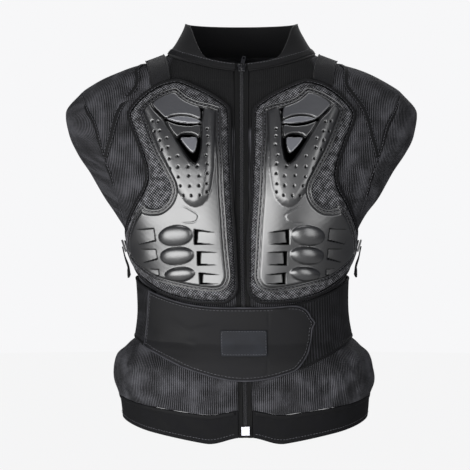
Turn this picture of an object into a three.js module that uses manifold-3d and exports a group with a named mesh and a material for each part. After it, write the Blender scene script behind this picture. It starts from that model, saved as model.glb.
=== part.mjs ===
// Sleeveless motorcycle armour vest: a zipped mesh shell with cap sleeves, a stand collar,
// two padded chest guards with moulded plates, a padded back, a wide waist belt and a hem band.
// Millimetres, +Z up. The front faces -Y and the wearer's left is +X.
// The origin is the middle of the shoulders, level with the seam that carries the vest.

import * as THREE from 'three';
import { mergeVertices } from 'three/addons/utils/BufferGeometryUtils.js';
import Module from 'manifold-3d';

const wasm = await Module();
wasm.setup();

// Shell: half widths and depths of the body
const capHalfWidth = 218;
const chestHalfWidth = 158;
const waistHalfWidth = 143;
const hemHalfWidth = 170;
const neckHalfWidth = 100;
const collarHalfWidth = 74;
const frontDepth = 112;
const backDepth = 109;
const capDepth = 80;
const neckDepth = 64;

// Shell: heights and drops, counted from the shoulder seam
const neckRise = 8;
const neckDip = 24;
const necklinePower = 1.4;
const capDrop = 44;
const armholeHeight = 188;
const armholeHalfDepth = 70;
const armholePower = 2.4;
const skirtHeight = 39;
const hemBandHeight = 37;
const hemSideRise = 16;
const hemSag = 9;
const hemSway = 5.5;

// Collar
const collarFrontHeight = 10;
const collarSideHeight = 43;
const collarWall = 3.4;
const collarRiseStart = 35;
const collarRiseEnd = 72;

// Cloth walls and the clearances between layers
const meshWall = 1.2;
const layerGap = 1.6;
const padGap = 2.1;
const seamGap = 0.34;
const edgeRoll = 0.6;
const hemWall = 2.2;
const foldHeight = 5;
const foldWidth = 9;
const gatherHeight = 5;
const gatherCount = 22;

// Chest pads and their bound edge
const padDrop = 29;
const padHeight = 296;
const padWidth = 187;
const padZipInset = 5;
const padEdgeThickness = 6;
const padThickness = 8;
const bindingWidth = 5;
const bindingThickness = 4.6;
const bindingStep = 27;

// Chest plates
const plateHeight = 263;
const plateWidth = 143;
const plateTopInset = 15;
const plateZipInset = 15.5;
const plateWall = 3;
const plateCrown = 7;
const plateStep = 2;
const plateGap = 1.3;
const plateRoot = 2.6;
const ribHeight = 5;
const finHeight = 4;
const domeHeight = 6;
const domeLength = 41;
const domeWidth = 25;
const domeSides = 8;
const domeRings = 4;
const tabHeight = 2.4;

// Back pad
const backPadDrop = 40;
const backPadHeight = 248;
const backPadHalfWidth = 118;

// Waist belt
const beltHeight = 98;
const beltPadGap = 4;
const beltTopRise = 33;
const beltBottomRise = 48;
const elasticWall = 2.2;
const wingWall = 3.2;
const wingStart = -62;
const wingEnd = 45;
const elasticFrontEnd = -31;
const elasticSeam = 94;
const patchWidth = 60;
const patchHeight = 36;
const patchWall = 1;
const patchGap = 0.9;
const beltSeamTurn = 0.2;
const beltUnderlap = 3;

// Straps and buckles
const shoulderStrapWidth = 26;
const shoulderStrapInner = 95;
const strapWall = 1.8;
const yokeTapeWidth = 8;
const tapeWall = 0.9;
const strapSpread = 10;
const strapEndSlope = 11;
const sideStrapWidth = 20;
const tailWidth = 18;
const tailLength = 40;
const tailDrift = 5;
const buckleWidth = 26;
const buckleHeight = 16;
const buckleBar = 3;
const buckleWall = 2.6;
const buckleAngle = 84;
const buckleDown = 0.745;
const strapRise = 4.6;

// Zip
const zipHalfWidth = 9;
const coilHalfWidth = 2.8;
const coilHeight = 1.5;
const sliderWidth = 12.4;
const sliderLength = 9.6;
const sliderHeight = 3.4;
const sliderDrop = 7;
const crownWidth = 1.6;
const crownLength = 6.4;
const crownWall = 1.2;
const pullLength = 16;
const pullWidth = 5.2;
const pullThickness = 1.6;
const pullHole = 3;
const pullTilt = 13;
const pullArmGap = 1.1;
const pinGap = 0.4;
const zipBoxWidth = 11;
const zipBoxHeight = 12;
const zipBoxThickness = 2.6;
const boxDrop = 4;

const degree = Math.PI / 180;
const frontColumns = 10;
const backColumns = 16;

// Levels: 0 hem edge, 1 hem band top, 2 waist, 3 armpit, 4 cap tip, 5 side of the neck, 6 collar top
const waistHeight = -(padDrop + padHeight + beltPadGap + beltHeight / 2);
const hemTop = waistHeight - beltHeight / 2 - skirtHeight;
const levels = [
  hemTop - hemBandHeight,
  hemTop,
  waistHeight,
  -(capDrop + armholeHeight),
  -capDrop,
  neckRise,
  neckRise + collarSideHeight,
];

function levelHeight(level) {
  const step = Math.min(Math.max(Math.floor(level), 0), levels.length - 2);
  return THREE.MathUtils.lerp(levels[step], levels[step + 1], level - step);
}

// Sections of the torso from the hem to the collar top
const sections = [
  { level: -0.5, half: 0.97 * hemHalfWidth, front: 1.01 * frontDepth, back: 0.95 * backDepth, power: 2.3 },
  { level: 0, half: 0.98 * hemHalfWidth, front: 1.01 * frontDepth, back: 0.95 * backDepth, power: 2.3 },
  { level: 1, half: hemHalfWidth, front: 1.04 * frontDepth, back: 0.99 * backDepth, power: 2.3 },
  { level: 1.35, half: 1.03 * hemHalfWidth, front: 1.06 * frontDepth, back: backDepth, power: 2.3 },
  { level: 1.65, half: 1.01 * hemHalfWidth, front: 1.04 * frontDepth, back: 0.97 * backDepth, power: 2.3 },
  { level: 1.85, half: 1.1 * waistHalfWidth, front: frontDepth, back: 0.92 * backDepth, power: 2.3 },
  { level: 2, half: 1.02 * waistHalfWidth, front: 0.965 * frontDepth, back: 0.88 * backDepth, power: 2.3 },
  { level: 2.3, half: 0.985 * waistHalfWidth, front: 0.94 * frontDepth, back: 0.85 * backDepth, power: 2.3 },
  { level: 2.62, half: waistHalfWidth, front: 0.95 * frontDepth, back: 0.88 * backDepth, power: 2.3 },
  { level: 2.85, half: 0.95 * chestHalfWidth, front: 0.97 * frontDepth, back: 0.93 * backDepth, power: 2.4 },
  { level: 3, half: chestHalfWidth, front: 0.99 * frontDepth, back: 0.96 * backDepth, power: 2.4 },
  { level: 3.12, half: 1.08 * chestHalfWidth, front: frontDepth, back: 0.98 * backDepth, power: 2.4 },
  { level: 3.25, half: 1.19 * chestHalfWidth, front: frontDepth, back: 1.01 * backDepth, power: 2.4 },
  { level: 3.42, half: 0.945 * capHalfWidth, front: 0.98 * frontDepth, back: 1.03 * backDepth, power: 2.4 },
  { level: 3.55, half: 1.02 * capHalfWidth, front: 0.94 * frontDepth, back: 1.03 * backDepth, power: 2.4 },
  { level: 3.7, half: 1.08 * capHalfWidth, front: 1.22 * capDepth, back: 1.01 * backDepth, power: 2.4 },
  { level: 3.85, half: 1.1 * capHalfWidth, front: 1.11 * capDepth, back: 0.965 * backDepth, power: 2.35 },
  { level: 4, half: capHalfWidth, front: capDepth, back: 0.89 * backDepth, power: 2.25 },
  { level: 4.2, half: 0.93 * capHalfWidth, front: 0.96 * capDepth, back: 0.855 * backDepth, power: 2.2 },
  { level: 4.4, half: 0.845 * capHalfWidth, front: 0.92 * capDepth, back: 0.82 * backDepth, power: 2.15 },
  { level: 4.6, half: 0.725 * capHalfWidth, front: 0.875 * capDepth, back: 0.78 * backDepth, power: 2.1 },
  { level: 4.8, half: 0.57 * capHalfWidth, front: 1.04 * neckDepth, back: 1.23 * neckDepth, power: 2.05 },
  { level: 5, half: neckHalfWidth, front: neckDepth, back: 1.14 * neckDepth, power: 2 },
  { level: 5.4, half: 0.86 * neckHalfWidth, front: 0.955 * neckDepth, back: 1.05 * neckDepth, power: 2 },
  { level: 6, half: collarHalfWidth, front: 0.94 * neckDepth, back: neckDepth, power: 2 },
  { level: 6.4, half: 0.97 * collarHalfWidth, front: 0.94 * neckDepth, back: neckDepth, power: 2 },
].map((row) => ({ ...row, z: levelHeight(row.level) }));

// Soft folds of the cloth: each runs from one place to another and stands up from the surface
const folds = [
  { from: { angle: -70, level: 1.6 }, to: { angle: -47, level: 1.6 }, height: 1, width: 0.8 },
  { from: { angle: -80, level: 1.36 }, to: { angle: -52, level: 1.42 }, height: 1, width: 0.9 },
  { from: { angle: -16, level: 1.05 }, to: { angle: -6, level: 1.45 }, height: 0.6, width: 0.9 },
  { from: { angle: 47, level: 1.56 }, to: { angle: 55, level: 1.1 }, height: 1, width: 0.9 },
  { from: { angle: 60, level: 1.6 }, to: { angle: 74, level: 1.12 }, height: 1.2, width: 1 },
];

// Smooth interpolation of one column of the section table that never overshoots
function smoothColumn(name, step, share) {
  const last = sections.length - 1;
  const slope = (index) => {
    if (index <= 0 || index >= last) return 0;
    const before = sections[index - 1];
    const here = sections[index];
    const after = sections[index + 1];
    const below = (here[name] - before[name]) / (here.z - before.z);
    const above = (after[name] - here[name]) / (after.z - here.z);
    return below * above > 0 ? (2 * below * above) / (below + above) : 0;
  };
  const span = sections[step + 1].z - sections[step].z;
  const square = share * share;
  const cube = square * share;
  return (2 * cube - 3 * square + 1) * sections[step][name]
    + (cube - 2 * square + share) * slope(step) * span
    + (3 * square - 2 * cube) * sections[step + 1][name]
    + (cube - square) * slope(step + 1) * span;
}

function sectionAt(z) {
  const last = sections.length - 1;
  const height = THREE.MathUtils.clamp(z, sections[0].z, sections[last].z);
  let step = 0;
  while (step < last - 1 && height > sections[step + 1].z) step += 1;
  const share = (height - sections[step].z) / (sections[step + 1].z - sections[step].z);
  const row = {};
  for (const name of ['half', 'front', 'back', 'power']) row[name] = smoothColumn(name, step, share);
  const hemToWaist = (levels[3] - height) / (levels[3] - levels[0]);
  row.sway = hemSway * THREE.MathUtils.clamp(hemToWaist, 0, 1);
  return row;
}

// A point of the smooth torso. Angle 0 is the zip, 90 degrees the wearer's left side
function torsoPoint(angle, z) {
  const section = sectionAt(z);
  const sine = Math.sin(angle);
  const cosine = Math.cos(angle);
  const depth = cosine >= 0 ? section.front : section.back;
  const sum = (Math.abs(sine) / section.half) ** section.power
    + (Math.abs(cosine) / depth) ** section.power;
  const reach = sum ** (-1 / section.power);
  return new THREE.Vector3(section.sway + reach * sine, -reach * cosine, z);
}

// Height of the belt's top (edge 1) or bottom (edge -1): it dips in front and rises at the sides
function beltEdge(angle, edge) {
  const side = Math.cos(angle) > 0 ? Math.sin(angle) ** 2 : 1;
  const rise = edge > 0 ? beltTopRise * side ** 2 : beltBottomRise * side;
  return waistHeight + (edge * beltHeight) / 2 + rise;
}

// How far folds and the gathers of the skirt lift the cloth
function foldLift(angle, z) {
  const here = torsoPoint(angle, z);
  let lift = 0;
  for (const fold of folds) {
    const start = torsoPoint(fold.from.angle * degree, levelHeight(fold.from.level));
    const end = torsoPoint(fold.to.angle * degree, levelHeight(fold.to.level));
    const line = end.clone().sub(start);
    const share = THREE.MathUtils.clamp(here.clone().sub(start).dot(line) / line.lengthSq(), 0, 1);
    const away = here.distanceTo(start.addScaledVector(line, share)) / (fold.width * foldWidth);
    const ridge = Math.exp(-away * away) * (0.35 + 0.65 * Math.sin(Math.PI * share));
    lift += fold.height * foldHeight * ridge;
  }
  const top = beltEdge(angle, -1);
  const bottom = levels[1];
  if (z < top && z > bottom) {
    const swell = Math.sin((Math.PI * (z - bottom)) / (top - bottom));
    lift += 0.5 * gatherHeight * swell * (1 + Math.sin(gatherCount * angle));
  }
  return lift;
}

function surfaceNormal(angle, z) {
  const turn = 0.4 * degree;
  const rise = 0.6;
  const across = torsoPoint(angle + turn, z).sub(torsoPoint(angle - turn, z));
  const up = torsoPoint(angle, z + rise).sub(torsoPoint(angle, z - rise));
  return across.cross(up).normalize();
}

// A point of the cloth, lifted off the smooth torso along its normal
function onBody(angle, z, lift) {
  return torsoPoint(angle, z).addScaledVector(surfaceNormal(angle, z), lift + foldLift(angle, z));
}

// The angle at a distance along the cloth from the zip or from the middle of the back
const girthSteps = 90;
const girthTables = new Map();
function girthAngle(distance, z, fromBack) {
  const key = `${z.toFixed(3)} ${fromBack}`;
  if (!girthTables.has(key)) {
    const table = [0];
    const start = fromBack ? Math.PI : 0;
    let before = torsoPoint(start, z);
    for (let step = 1; step <= girthSteps; step += 1) {
      const here = torsoPoint(start + (step * Math.PI) / girthSteps, z);
      table.push(table[step - 1] + here.distanceTo(before));
      before = here;
    }
    girthTables.set(key, table);
  }
  const table = girthTables.get(key);
  const length = Math.abs(distance);
  let step = 0;
  while (step < girthSteps - 1 && table[step + 1] < length) step += 1;
  const share = (length - table[step]) / (table[step + 1] - table[step]);
  const turn = (Math.sign(distance) * (step + share) * Math.PI) / girthSteps;
  return fromBack ? Math.PI + turn : turn;
}

// The zip holds the hem up, and it hangs lower on both sides of it: share of the sag at an angle
function hemHang(angle) {
  const turn = Math.acos(Math.cos(angle)) / degree;
  const front = THREE.MathUtils.smoothstep(turn, 3, 26) * (1 - 0.35 * THREE.MathUtils.smoothstep(turn, 55, 85));
  return front * (1 - THREE.MathUtils.smoothstep(turn, 90, 150));
}

// Height of a garment row at an angle: the neckline dips in front and the hem rises at the sides
const necklineStart = 3.7;
function rowHeight(angle, level) {
  const z = levelHeight(level);
  const facing = Math.max(Math.cos(angle), 0);
  if (level > necklineStart) {
    const anchor = levelHeight(necklineStart);
    const neckline = neckRise - neckDip * facing ** necklinePower;
    return anchor + ((z - anchor) * (neckline - anchor)) / (neckRise - anchor);
  }
  if (level >= 2) return z;
  const below = (levels[2] - z) / (levels[2] - levels[1]);
  return z + (hemSideRise * Math.sin(angle) ** 2 - hemSag * hemHang(angle)) * below;
}

// Angle where the shell stops: the side and shoulder seams, or the armhole between them
function armholeAngle(level, back) {
  if (level <= 3 || level >= 4) return 90 * degree;
  const section = sectionAt(levelHeight(level));
  const middle = 2 * (level - 3) - 1;
  const open = armholeHalfDepth * (1 - Math.abs(middle) ** armholePower) ** (1 / armholePower);
  const depth = back ? section.back : section.front;
  const side = section.half * (1 - (open / depth) ** section.power) ** (1 / section.power);
  return Math.atan2(side, open);
}

function seamTurn(z) {
  return seamGap / 2 / sectionAt(z).half;
}

// Meshes are closed bodies with outward faces
function closedBody(positions, faces) {
  const geometry = new THREE.BufferGeometry();
  const values = positions.flatMap((point) => point.toArray());
  geometry.setAttribute('position', new THREE.Float32BufferAttribute(values, 3));
  const volume = faces.reduce((sum, [a, b, c]) => {
    return sum + positions[a].dot(positions[b].clone().cross(positions[c]));
  }, 0);
  const turned = volume < 0 ? faces.map(([a, b, c]) => [a, c, b]) : faces;
  geometry.setIndex(turned.flat());
  geometry.computeVertexNormals();
  return geometry;
}

// The rows of a route with extra rows worked out between them
function denser(rows, steps) {
  return rows.slice(1).reduce((route, row, index) => {
    const before = rows[index];
    for (const share of shares(steps).slice(1)) {
      const names = Object.keys(row);
      route.push(Object.fromEntries(names.map((name) => {
        return [name, THREE.MathUtils.lerp(before[name], row[name], share)];
      })));
    }
    return route;
  }, [rows[0]]);
}

function shares(count) {
  return Array.from({ length: count + 1 }, (_, index) => index / count);
}

// A wall over a grid: place(s, t) gives an angle and a height, inner and outer give the two lifts
function wall({ across, up, place, inner, outer }) {
  const positions = [];
  const faces = [];
  const columns = across.length;
  const rows = up.length;
  for (const lift of [inner, outer]) {
    for (const t of up) {
      for (const s of across) {
        const { angle, z } = place(s, t);
        positions.push(onBody(angle, z, typeof lift === 'function' ? lift(s, t, angle, z) : lift));
      }
    }
  }
  const index = (layer, row, column) => (layer * rows + row) * columns + column;
  const quad = (a, b, c, d) => faces.push([a, b, c], [a, c, d]);
  for (let row = 0; row + 1 < rows; row += 1) {
    for (let column = 0; column + 1 < columns; column += 1) {
      quad(index(1, row, column), index(1, row, column + 1),
        index(1, row + 1, column + 1), index(1, row + 1, column));
      quad(index(0, row, column), index(0, row + 1, column),
        index(0, row + 1, column + 1), index(0, row, column + 1));
    }
  }
  for (let column = 0; column + 1 < columns; column += 1) {
    quad(index(0, 0, column), index(0, 0, column + 1), index(1, 0, column + 1), index(1, 0, column));
    quad(index(0, rows - 1, column + 1), index(0, rows - 1, column),
      index(1, rows - 1, column), index(1, rows - 1, column + 1));
  }
  for (let row = 0; row + 1 < rows; row += 1) {
    quad(index(0, row + 1, 0), index(0, row, 0), index(1, row, 0), index(1, row + 1, 0));
    quad(index(0, row, columns - 1), index(0, row + 1, columns - 1),
      index(1, row + 1, columns - 1), index(1, row, columns - 1));
  }
  return closedBody(positions, faces);
}

// A flat band along a path on the body, from near to far beside the path, between two lifts
function bandAlong({ path, closed, near, far, inner, outer }) {
  const positions = [];
  const faces = [];
  const points = path.map(({ angle, z }) => onBody(angle, z, 0));
  const last = path.length - 1;
  path.forEach(({ angle, z, lift = 0 }, index) => {
    const before = points[index === 0 ? (closed ? last : 0) : index - 1];
    const after = points[index === last ? (closed ? 0 : last) : index + 1];
    const normal = surfaceNormal(angle, z);
    const side = after.clone().sub(before).cross(normal).normalize();
    for (const [beside, above] of [[near, inner], [far, inner], [far, outer], [near, outer]]) {
      const corner = points[index].clone().addScaledVector(side, beside);
      positions.push(corner.addScaledVector(normal, above + lift));
    }
  });
  const stations = closed ? path.length : last;
  for (let station = 0; station < stations; station += 1) {
    const next = (station + 1) % path.length;
    for (let corner = 0; corner < 4; corner += 1) {
      const other = (corner + 1) % 4;
      faces.push([station * 4 + corner, next * 4 + corner, next * 4 + other]);
      faces.push([station * 4 + corner, next * 4 + other, station * 4 + other]);
    }
  }
  if (!closed) {
    faces.push([0, 1, 2], [0, 2, 3]);
    faces.push([last * 4, last * 4 + 2, last * 4 + 1], [last * 4, last * 4 + 3, last * 4 + 2]);
  }
  return closedBody(positions, faces);
}

function solidOf(geometry) {
  const bare = geometry.clone();
  for (const name of ['normal', 'uv']) bare.deleteAttribute(name);
  const merged = mergeVertices(bare, 1e-4);
  return new wasm.Manifold(new wasm.Mesh({
    numProp: 3,
    vertProperties: new Float32Array(merged.attributes.position.array),
    triVerts: new Uint32Array(merged.index.array),
  }));
}

function geometryOf(solid) {
  const { vertProperties, triVerts } = solid.getMesh();
  const geometry = new THREE.BufferGeometry();
  geometry.setAttribute('position', new THREE.Float32BufferAttribute(vertProperties, 3));
  geometry.setIndex(Array.from(triVerts));
  geometry.computeVertexNormals();
  return geometry;
}

// Corners of a rectangle, and a flat plate cut from an outline with holes
function rectangle(width, height, middle = 0) {
  return [[-1, -1], [1, -1], [1, 1], [-1, 1]].map(([x, y]) => {
    return new THREE.Vector2((x * width) / 2, middle + (y * height) / 2);
  });
}

function plateShape(points, depth, holes = []) {
  const outline = new THREE.Shape(points.map(([x, y]) => new THREE.Vector2(x, y)));
  outline.holes.push(...holes);
  return new THREE.ExtrudeGeometry(outline, { depth, bevelEnabled: false, curveSegments: 5 });
}

const vest = new THREE.Group();

function finish(color, roughness, metalness = 0) {
  return new THREE.MeshStandardMaterial({ color, roughness, metalness });
}
const meshCloth = finish('#2c2c2e', 0.85);
const smoothCloth = finish('#1e1e20', 0.8);
const checkCloth = finish('#3a3a3c', 0.85);
const edging = finish('#141415', 0.7);
const plastic = finish('#232325', 0.32);
const webbing = finish('#161617', 0.75);
const metal = finish('#8f9094', 0.35, 0.9);

function addPiece(name, geometry, material, parent = vest) {
  const piece = new THREE.Mesh(geometry, material);
  piece.name = name;
  parent.add(piece);
  return piece;
}

// Shell panels
const armholeRows = [3.06, 3.18, 3.36, 3.58, 3.8, 3.94];
const upperRows = [2, 2.24, 2.48, 2.74, 3, ...armholeRows, 4, 4.22, 4.5, 4.75, 5];
const skirtRows = [1, 1.22, 1.45, 1.68, 1.85, 2];
const panelEdge = zipHalfWidth + 1.5 * seamGap;

function frontPanel(side, rows) {
  const trim = (level) => (level === rows[0] || level === rows[rows.length - 1] ? seamGap / 2 : 0);
  return wall({
    across: shares(frontColumns),
    up: rows,
    place: (s, level) => {
      const start = girthAngle(panelEdge, levelHeight(level), false);
      const end = armholeAngle(level, false) - seamTurn(levelHeight(level));
      const angle = side * THREE.MathUtils.lerp(start, end, s);
      const sign = level === rows[0] ? 1 : -1;
      return { angle, z: rowHeight(angle, level) + sign * trim(level) };
    },
    inner: 0,
    outer: meshWall,
  });
}

function backPanel(rows, columns) {
  return wall({
    across: shares(columns),
    up: rows,
    place: (s, level) => {
      const end = Math.PI - armholeAngle(level, true) - seamTurn(levelHeight(level));
      const angle = Math.PI + (2 * s - 1) * (level > 3 && level < 4 ? armholeAngle(level, true) : end);
      const sign = level === rows[0] ? 1 : level === rows[rows.length - 1] ? -1 : 0;
      return { angle, z: rowHeight(angle, level) + (sign * seamGap) / 2 };
    },
    inner: 0,
    outer: meshWall,
  });
}

const sides = [{ name: 'right', sign: -1 }, { name: 'left', sign: 1 }];
for (const { name, sign } of sides) {
  addPiece(`front_mesh_${name}`, frontPanel(sign, upperRows), meshCloth);
  addPiece(`skirt_mesh_${name}`, frontPanel(sign, skirtRows), meshCloth);
}
addPiece('back_mesh', backPanel(upperRows, backColumns), meshCloth);
addPiece('skirt_mesh_back', backPanel(skirtRows, backColumns), meshCloth);

// Strip that runs round the whole body from one zip edge to the other
function roundBody({ columns, bottom, top, inner, outer, edge = panelEdge }) {
  return wall({
    across: shares(columns),
    up: [0, 1],
    place: (s, t) => {
      const start = girthAngle(edge, THREE.MathUtils.lerp(bottom(0), top(0), t), false);
      const angle = THREE.MathUtils.lerp(start, 2 * Math.PI - start, s);
      return { angle, z: THREE.MathUtils.lerp(bottom(angle), top(angle), t) };
    },
    inner,
    outer,
  });
}

addPiece('hem_band', roundBody({
  columns: 4 * frontColumns,
  bottom: (angle) => rowHeight(angle, 0),
  top: (angle) => rowHeight(angle, 1) - seamGap / 2,
  inner: 0,
  outer: hemWall,
}), smoothCloth);

function collarHeight(angle) {
  const turn = Math.acos(Math.cos(angle)) / degree;
  const rise = THREE.MathUtils.smoothstep(turn, collarRiseStart, collarRiseEnd);
  return THREE.MathUtils.lerp(collarFrontHeight, collarSideHeight, rise);
}
addPiece('collar', roundBody({
  columns: 3 * frontColumns,
  bottom: (angle) => rowHeight(angle, 5) + seamGap / 2,
  top: (angle) => rowHeight(angle, 5) + collarHeight(angle),
  inner: 0,
  outer: collarWall,
}), smoothCloth);

// Bound armhole edges
for (const { name, sign } of sides) {
  const place = (level, back) => {
    const turn = armholeAngle(level, back);
    const angle = sign * (back ? Math.PI - turn : turn);
    return { angle, z: rowHeight(angle, level) };
  };
  const path = [
    { angle: sign * 90 * degree, z: levels[3] },
    ...armholeRows.map((level) => place(level, false)),
    { angle: sign * 90 * degree, z: levels[4] },
    ...armholeRows.toReversed().map((level) => place(level, true)),
  ];
  addPiece(`armhole_binding_${name}`, bandAlong({
    path,
    closed: true,
    near: sign * seamGap,
    far: sign * (bindingWidth + edgeRoll),
    inner: -edgeRoll,
    outer: meshWall + edgeRoll,
  }), edging);
}

// Seam tape from the shoulder to the front of the armhole
const yokeSeam = [
  { angle: 80, level: 4.7 },
  { angle: 69, level: 4.34 },
  { angle: 66.4, level: 4.06 },
  { angle: 66.8, level: 3.85 },
  { angle: 66.6, level: 3.7 },
  { angle: 67.6, level: 3.6 },
  { angle: 68.6, level: 3.54 },
];
for (const { name, sign } of sides) {
  addPiece(`yoke_tape_${name}`, bandAlong({
    path: denser(yokeSeam, 2).map((row) => ({
      angle: sign * row.angle * degree,
      z: levelHeight(row.level),
    })),
    near: -yokeTapeWidth / 2,
    far: yokeTapeWidth / 2,
    inner: meshWall + layerGap,
    outer: meshWall + layerGap + tapeWall,
  }), edging);
}

// Outlines are rows of a near and a far edge, as a distance along the cloth and a height
function outlineOf(table, { top, height, inset, width }) {
  const point = (row, edge) => ({ across: inset + row[edge] * width, z: top - row.down * height });
  return table.map((row) => ({ near: point(row, 'near'), far: point(row, 'far') }));
}

// The same outline, moved in from its edge by a distance
function shrinkOutline(rows, distance) {
  const loop = [...rows.map((row) => row.near), ...rows.toReversed().map((row) => row.far)];
  const moved = loop.map((here, index) => {
    const before = loop[(index + loop.length - 1) % loop.length];
    const after = loop[(index + 1) % loop.length];
    const into = new THREE.Vector2(here.z - before.z, before.across - here.across).normalize();
    const out = new THREE.Vector2(after.z - here.z, here.across - after.across).normalize();
    const middle = into.clone().add(out).normalize();
    const reach = distance / Math.max(middle.dot(into), 0.5);
    return { across: here.across - middle.x * reach, z: here.z - middle.y * reach };
  });
  const count = rows.length;
  return rows.map((_, index) => ({ near: moved[index], far: moved[2 * count - 1 - index] }));
}

function outlinePanel({ rows, columns, sign, fromBack = false, inner, outer }) {
  const flat = (s, t) => ({
    across: THREE.MathUtils.lerp(rows[t].near.across, rows[t].far.across, s),
    z: THREE.MathUtils.lerp(rows[t].near.z, rows[t].far.z, s),
  });
  const last = rows.length - 1;
  const liftAt = (lift) => (s, t) => {
    const { across, z } = flat(s, t);
    const edge = s === 0 || s === 1 || t === 0 || t === last;
    return lift({ across, z, edge });
  };
  return wall({
    across: columns,
    up: rows.map((_, index) => index),
    place: (s, t) => {
      const { across, z } = flat(s, t);
      return { angle: girthAngle(sign * across, z, fromBack), z };
    },
    inner: liftAt(inner),
    outer: liftAt(outer),
  });
}

// Long stretches of a closed loop get points between, so that it follows the body
function evenLoop(loop, longest) {
  return loop.flatMap((here, index) => {
    const after = loop[(index + 1) % loop.length];
    const length = Math.hypot(after.across - here.across, after.z - here.z);
    const steps = Math.ceil(length / longest);
    return shares(steps).slice(0, steps).map((share) => ({
      across: THREE.MathUtils.lerp(here.across, after.across, share),
      z: THREE.MathUtils.lerp(here.z, after.z, share),
    }));
  });
}

function outlineBinding({ rows, sign, fromBack = false }) {
  const loop = [...rows.map((row) => row.near), ...rows.toReversed().map((row) => row.far)];
  return bandAlong({
    path: evenLoop(loop, bindingStep).map(({ across, z }) => {
      return { angle: girthAngle(sign * across, z, fromBack), z };
    }),
    closed: true,
    near: 0,
    far: -sign * bindingWidth,
    inner: padBase,
    outer: padBase + bindingThickness,
  });
}

// Chest pad outline: down the pad, from the edge beside the zip to the edge beside the arm
const chestPadTable = [
  { down: 0, near: 0.406, far: 0.465 },
  { down: 0.02, near: 0.32, far: 0.57 },
  { down: 0.06, near: 0.19, far: 0.67 },
  { down: 0.118, near: 0.064, far: 0.76 },
  { down: 0.17, near: 0.045, far: 0.788 },
  { down: 0.3, near: 0.04, far: 0.71 },
  { down: 0.4, near: 0.033, far: 0.658 },
  { down: 0.47, near: 0.027, far: 0.672 },
  { down: 0.55, near: 0.024, far: 0.76 },
  { down: 0.61, near: 0.018, far: 0.83 },
  { down: 0.68, near: 0.01, far: 0.93 },
  { down: 0.75, near: 0.006, far: 1 },
  { down: 0.8, near: 0.004, far: 0.995 },
  { down: 0.86, near: 0.003, far: 0.9 },
  { down: 0.92, near: 0, far: 0.715 },
  { down: 0.965, near: 0.022, far: 0.55 },
  { down: 0.986, near: 0.06, far: 0.42 },
  { down: 1, near: 0.11, far: 0.262 },
];
const padOutline = outlineOf(chestPadTable, {
  top: -padDrop,
  height: padHeight,
  inset: padZipInset,
  width: padWidth,
});
const padBody = shrinkOutline(padOutline, bindingWidth + 4 * seamGap);
const padColumns = [0, 0.07, 0.25, 0.42, 0.57, 0.7, 0.82, 0.92, 1];
const padBase = meshWall + padGap;

// The chest guard swells in the middle of the plate
function guardSwell({ across, z }) {
  const middle = -(padDrop + plateTopInset + plateHeight / 2);
  const beside = (across - plateZipInset - plateWidth / 2) / (0.53 * plateWidth);
  const above = (z - middle) / (0.53 * plateHeight);
  return plateCrown * Math.max(0, 1 - beside * beside) * Math.max(0, 1 - above * above);
}

// Chest plate outline, with the notch below the armhole
const plateTable = [
  { down: 0, near: 0.48, far: 0.537 },
  { down: 0.038, near: 0.396, far: 0.677 },
  { down: 0.065, near: 0.298, far: 0.754 },
  { down: 0.087, near: 0.158, far: 0.803 },
  { down: 0.105, near: 0.095, far: 0.823 },
  { down: 0.247, near: 0.077, far: 0.733 },
  { down: 0.384, near: 0.063, far: 0.6 },
  { down: 0.483, near: 0.057, far: 0.509 },
  { down: 0.548, near: 0.053, far: 0.544 },
  { down: 0.565, near: 0.05, far: 0.607 },
  { down: 0.578, near: 0.048, far: 0.782 },
  { down: 0.62, near: 0.034, far: 0.874 },
  { down: 0.741, near: 0.02, far: 0.986 },
  { down: 0.806, near: 0.01, far: 1 },
  { down: 0.897, near: 0.002, far: 0.832 },
  { down: 0.939, near: 0.003, far: 0.705 },
  { down: 0.97, near: 0.025, far: 0.523 },
  { down: 0.989, near: 0.056, far: 0.333 },
  { down: 1, near: 0.102, far: 0.2 },
];
const plateFrame = {
  top: -(padDrop + plateTopInset),
  height: plateHeight,
  inset: plateZipInset,
  width: plateWidth,
};
const plateOutline = outlineOf(plateTable, plateFrame);
const plateColumns = [0, 0.06, 0.27, 0.5, 0.73, 0.94, 1];
const plateBase = padBase + padThickness + plateGap;

function plateTop(place) {
  return plateBase + plateWall + plateStep + guardSwell(place);
}

// Raised V rib, crescent and arch: stations with an upper or inner and a lower or outer edge
const vRib = [
  { inner: [0.705, 0.084], outer: [0.789, 0.106] },
  { inner: [0.586, 0.167], outer: [0.649, 0.281] },
  { inner: [0.446, 0.281], outer: [0.509, 0.456] },
  { inner: [0.39, 0.335], outer: [0.446, 0.502] },
  { inner: [0.34, 0.369], outer: [0.34, 0.567] },
  { inner: [0.305, 0.376], outer: [0.263, 0.57] },
  { inner: [0.277, 0.346], outer: [0.186, 0.529] },
  { inner: [0.256, 0.289], outer: [0.151, 0.441] },
  { inner: [0.242, 0.2], outer: [0.137, 0.27] },
  { inner: [0.228, 0.11], outer: [0.137, 0.129] },
];
const crescent = [
  { inner: [0.55, 0.16], outer: [0.55, 0.17] },
  { inner: [0.48, 0.145], outer: [0.48, 0.181] },
  { inner: [0.4, 0.141], outer: [0.4, 0.19] },
  { inner: [0.32, 0.152], outer: [0.32, 0.188] },
  { inner: [0.26, 0.171], outer: [0.26, 0.181] },
];
const arch = [
  { inner: [0.46, 0.262], outer: [0.46, 0.28] },
  { inner: [0.41, 0.247], outer: [0.41, 0.27] },
  { inner: [0.35, 0.243], outer: [0.35, 0.266] },
  { inner: [0.29, 0.25], outer: [0.29, 0.272] },
  { inner: [0.262, 0.262], outer: [0.262, 0.28] },
];

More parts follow.
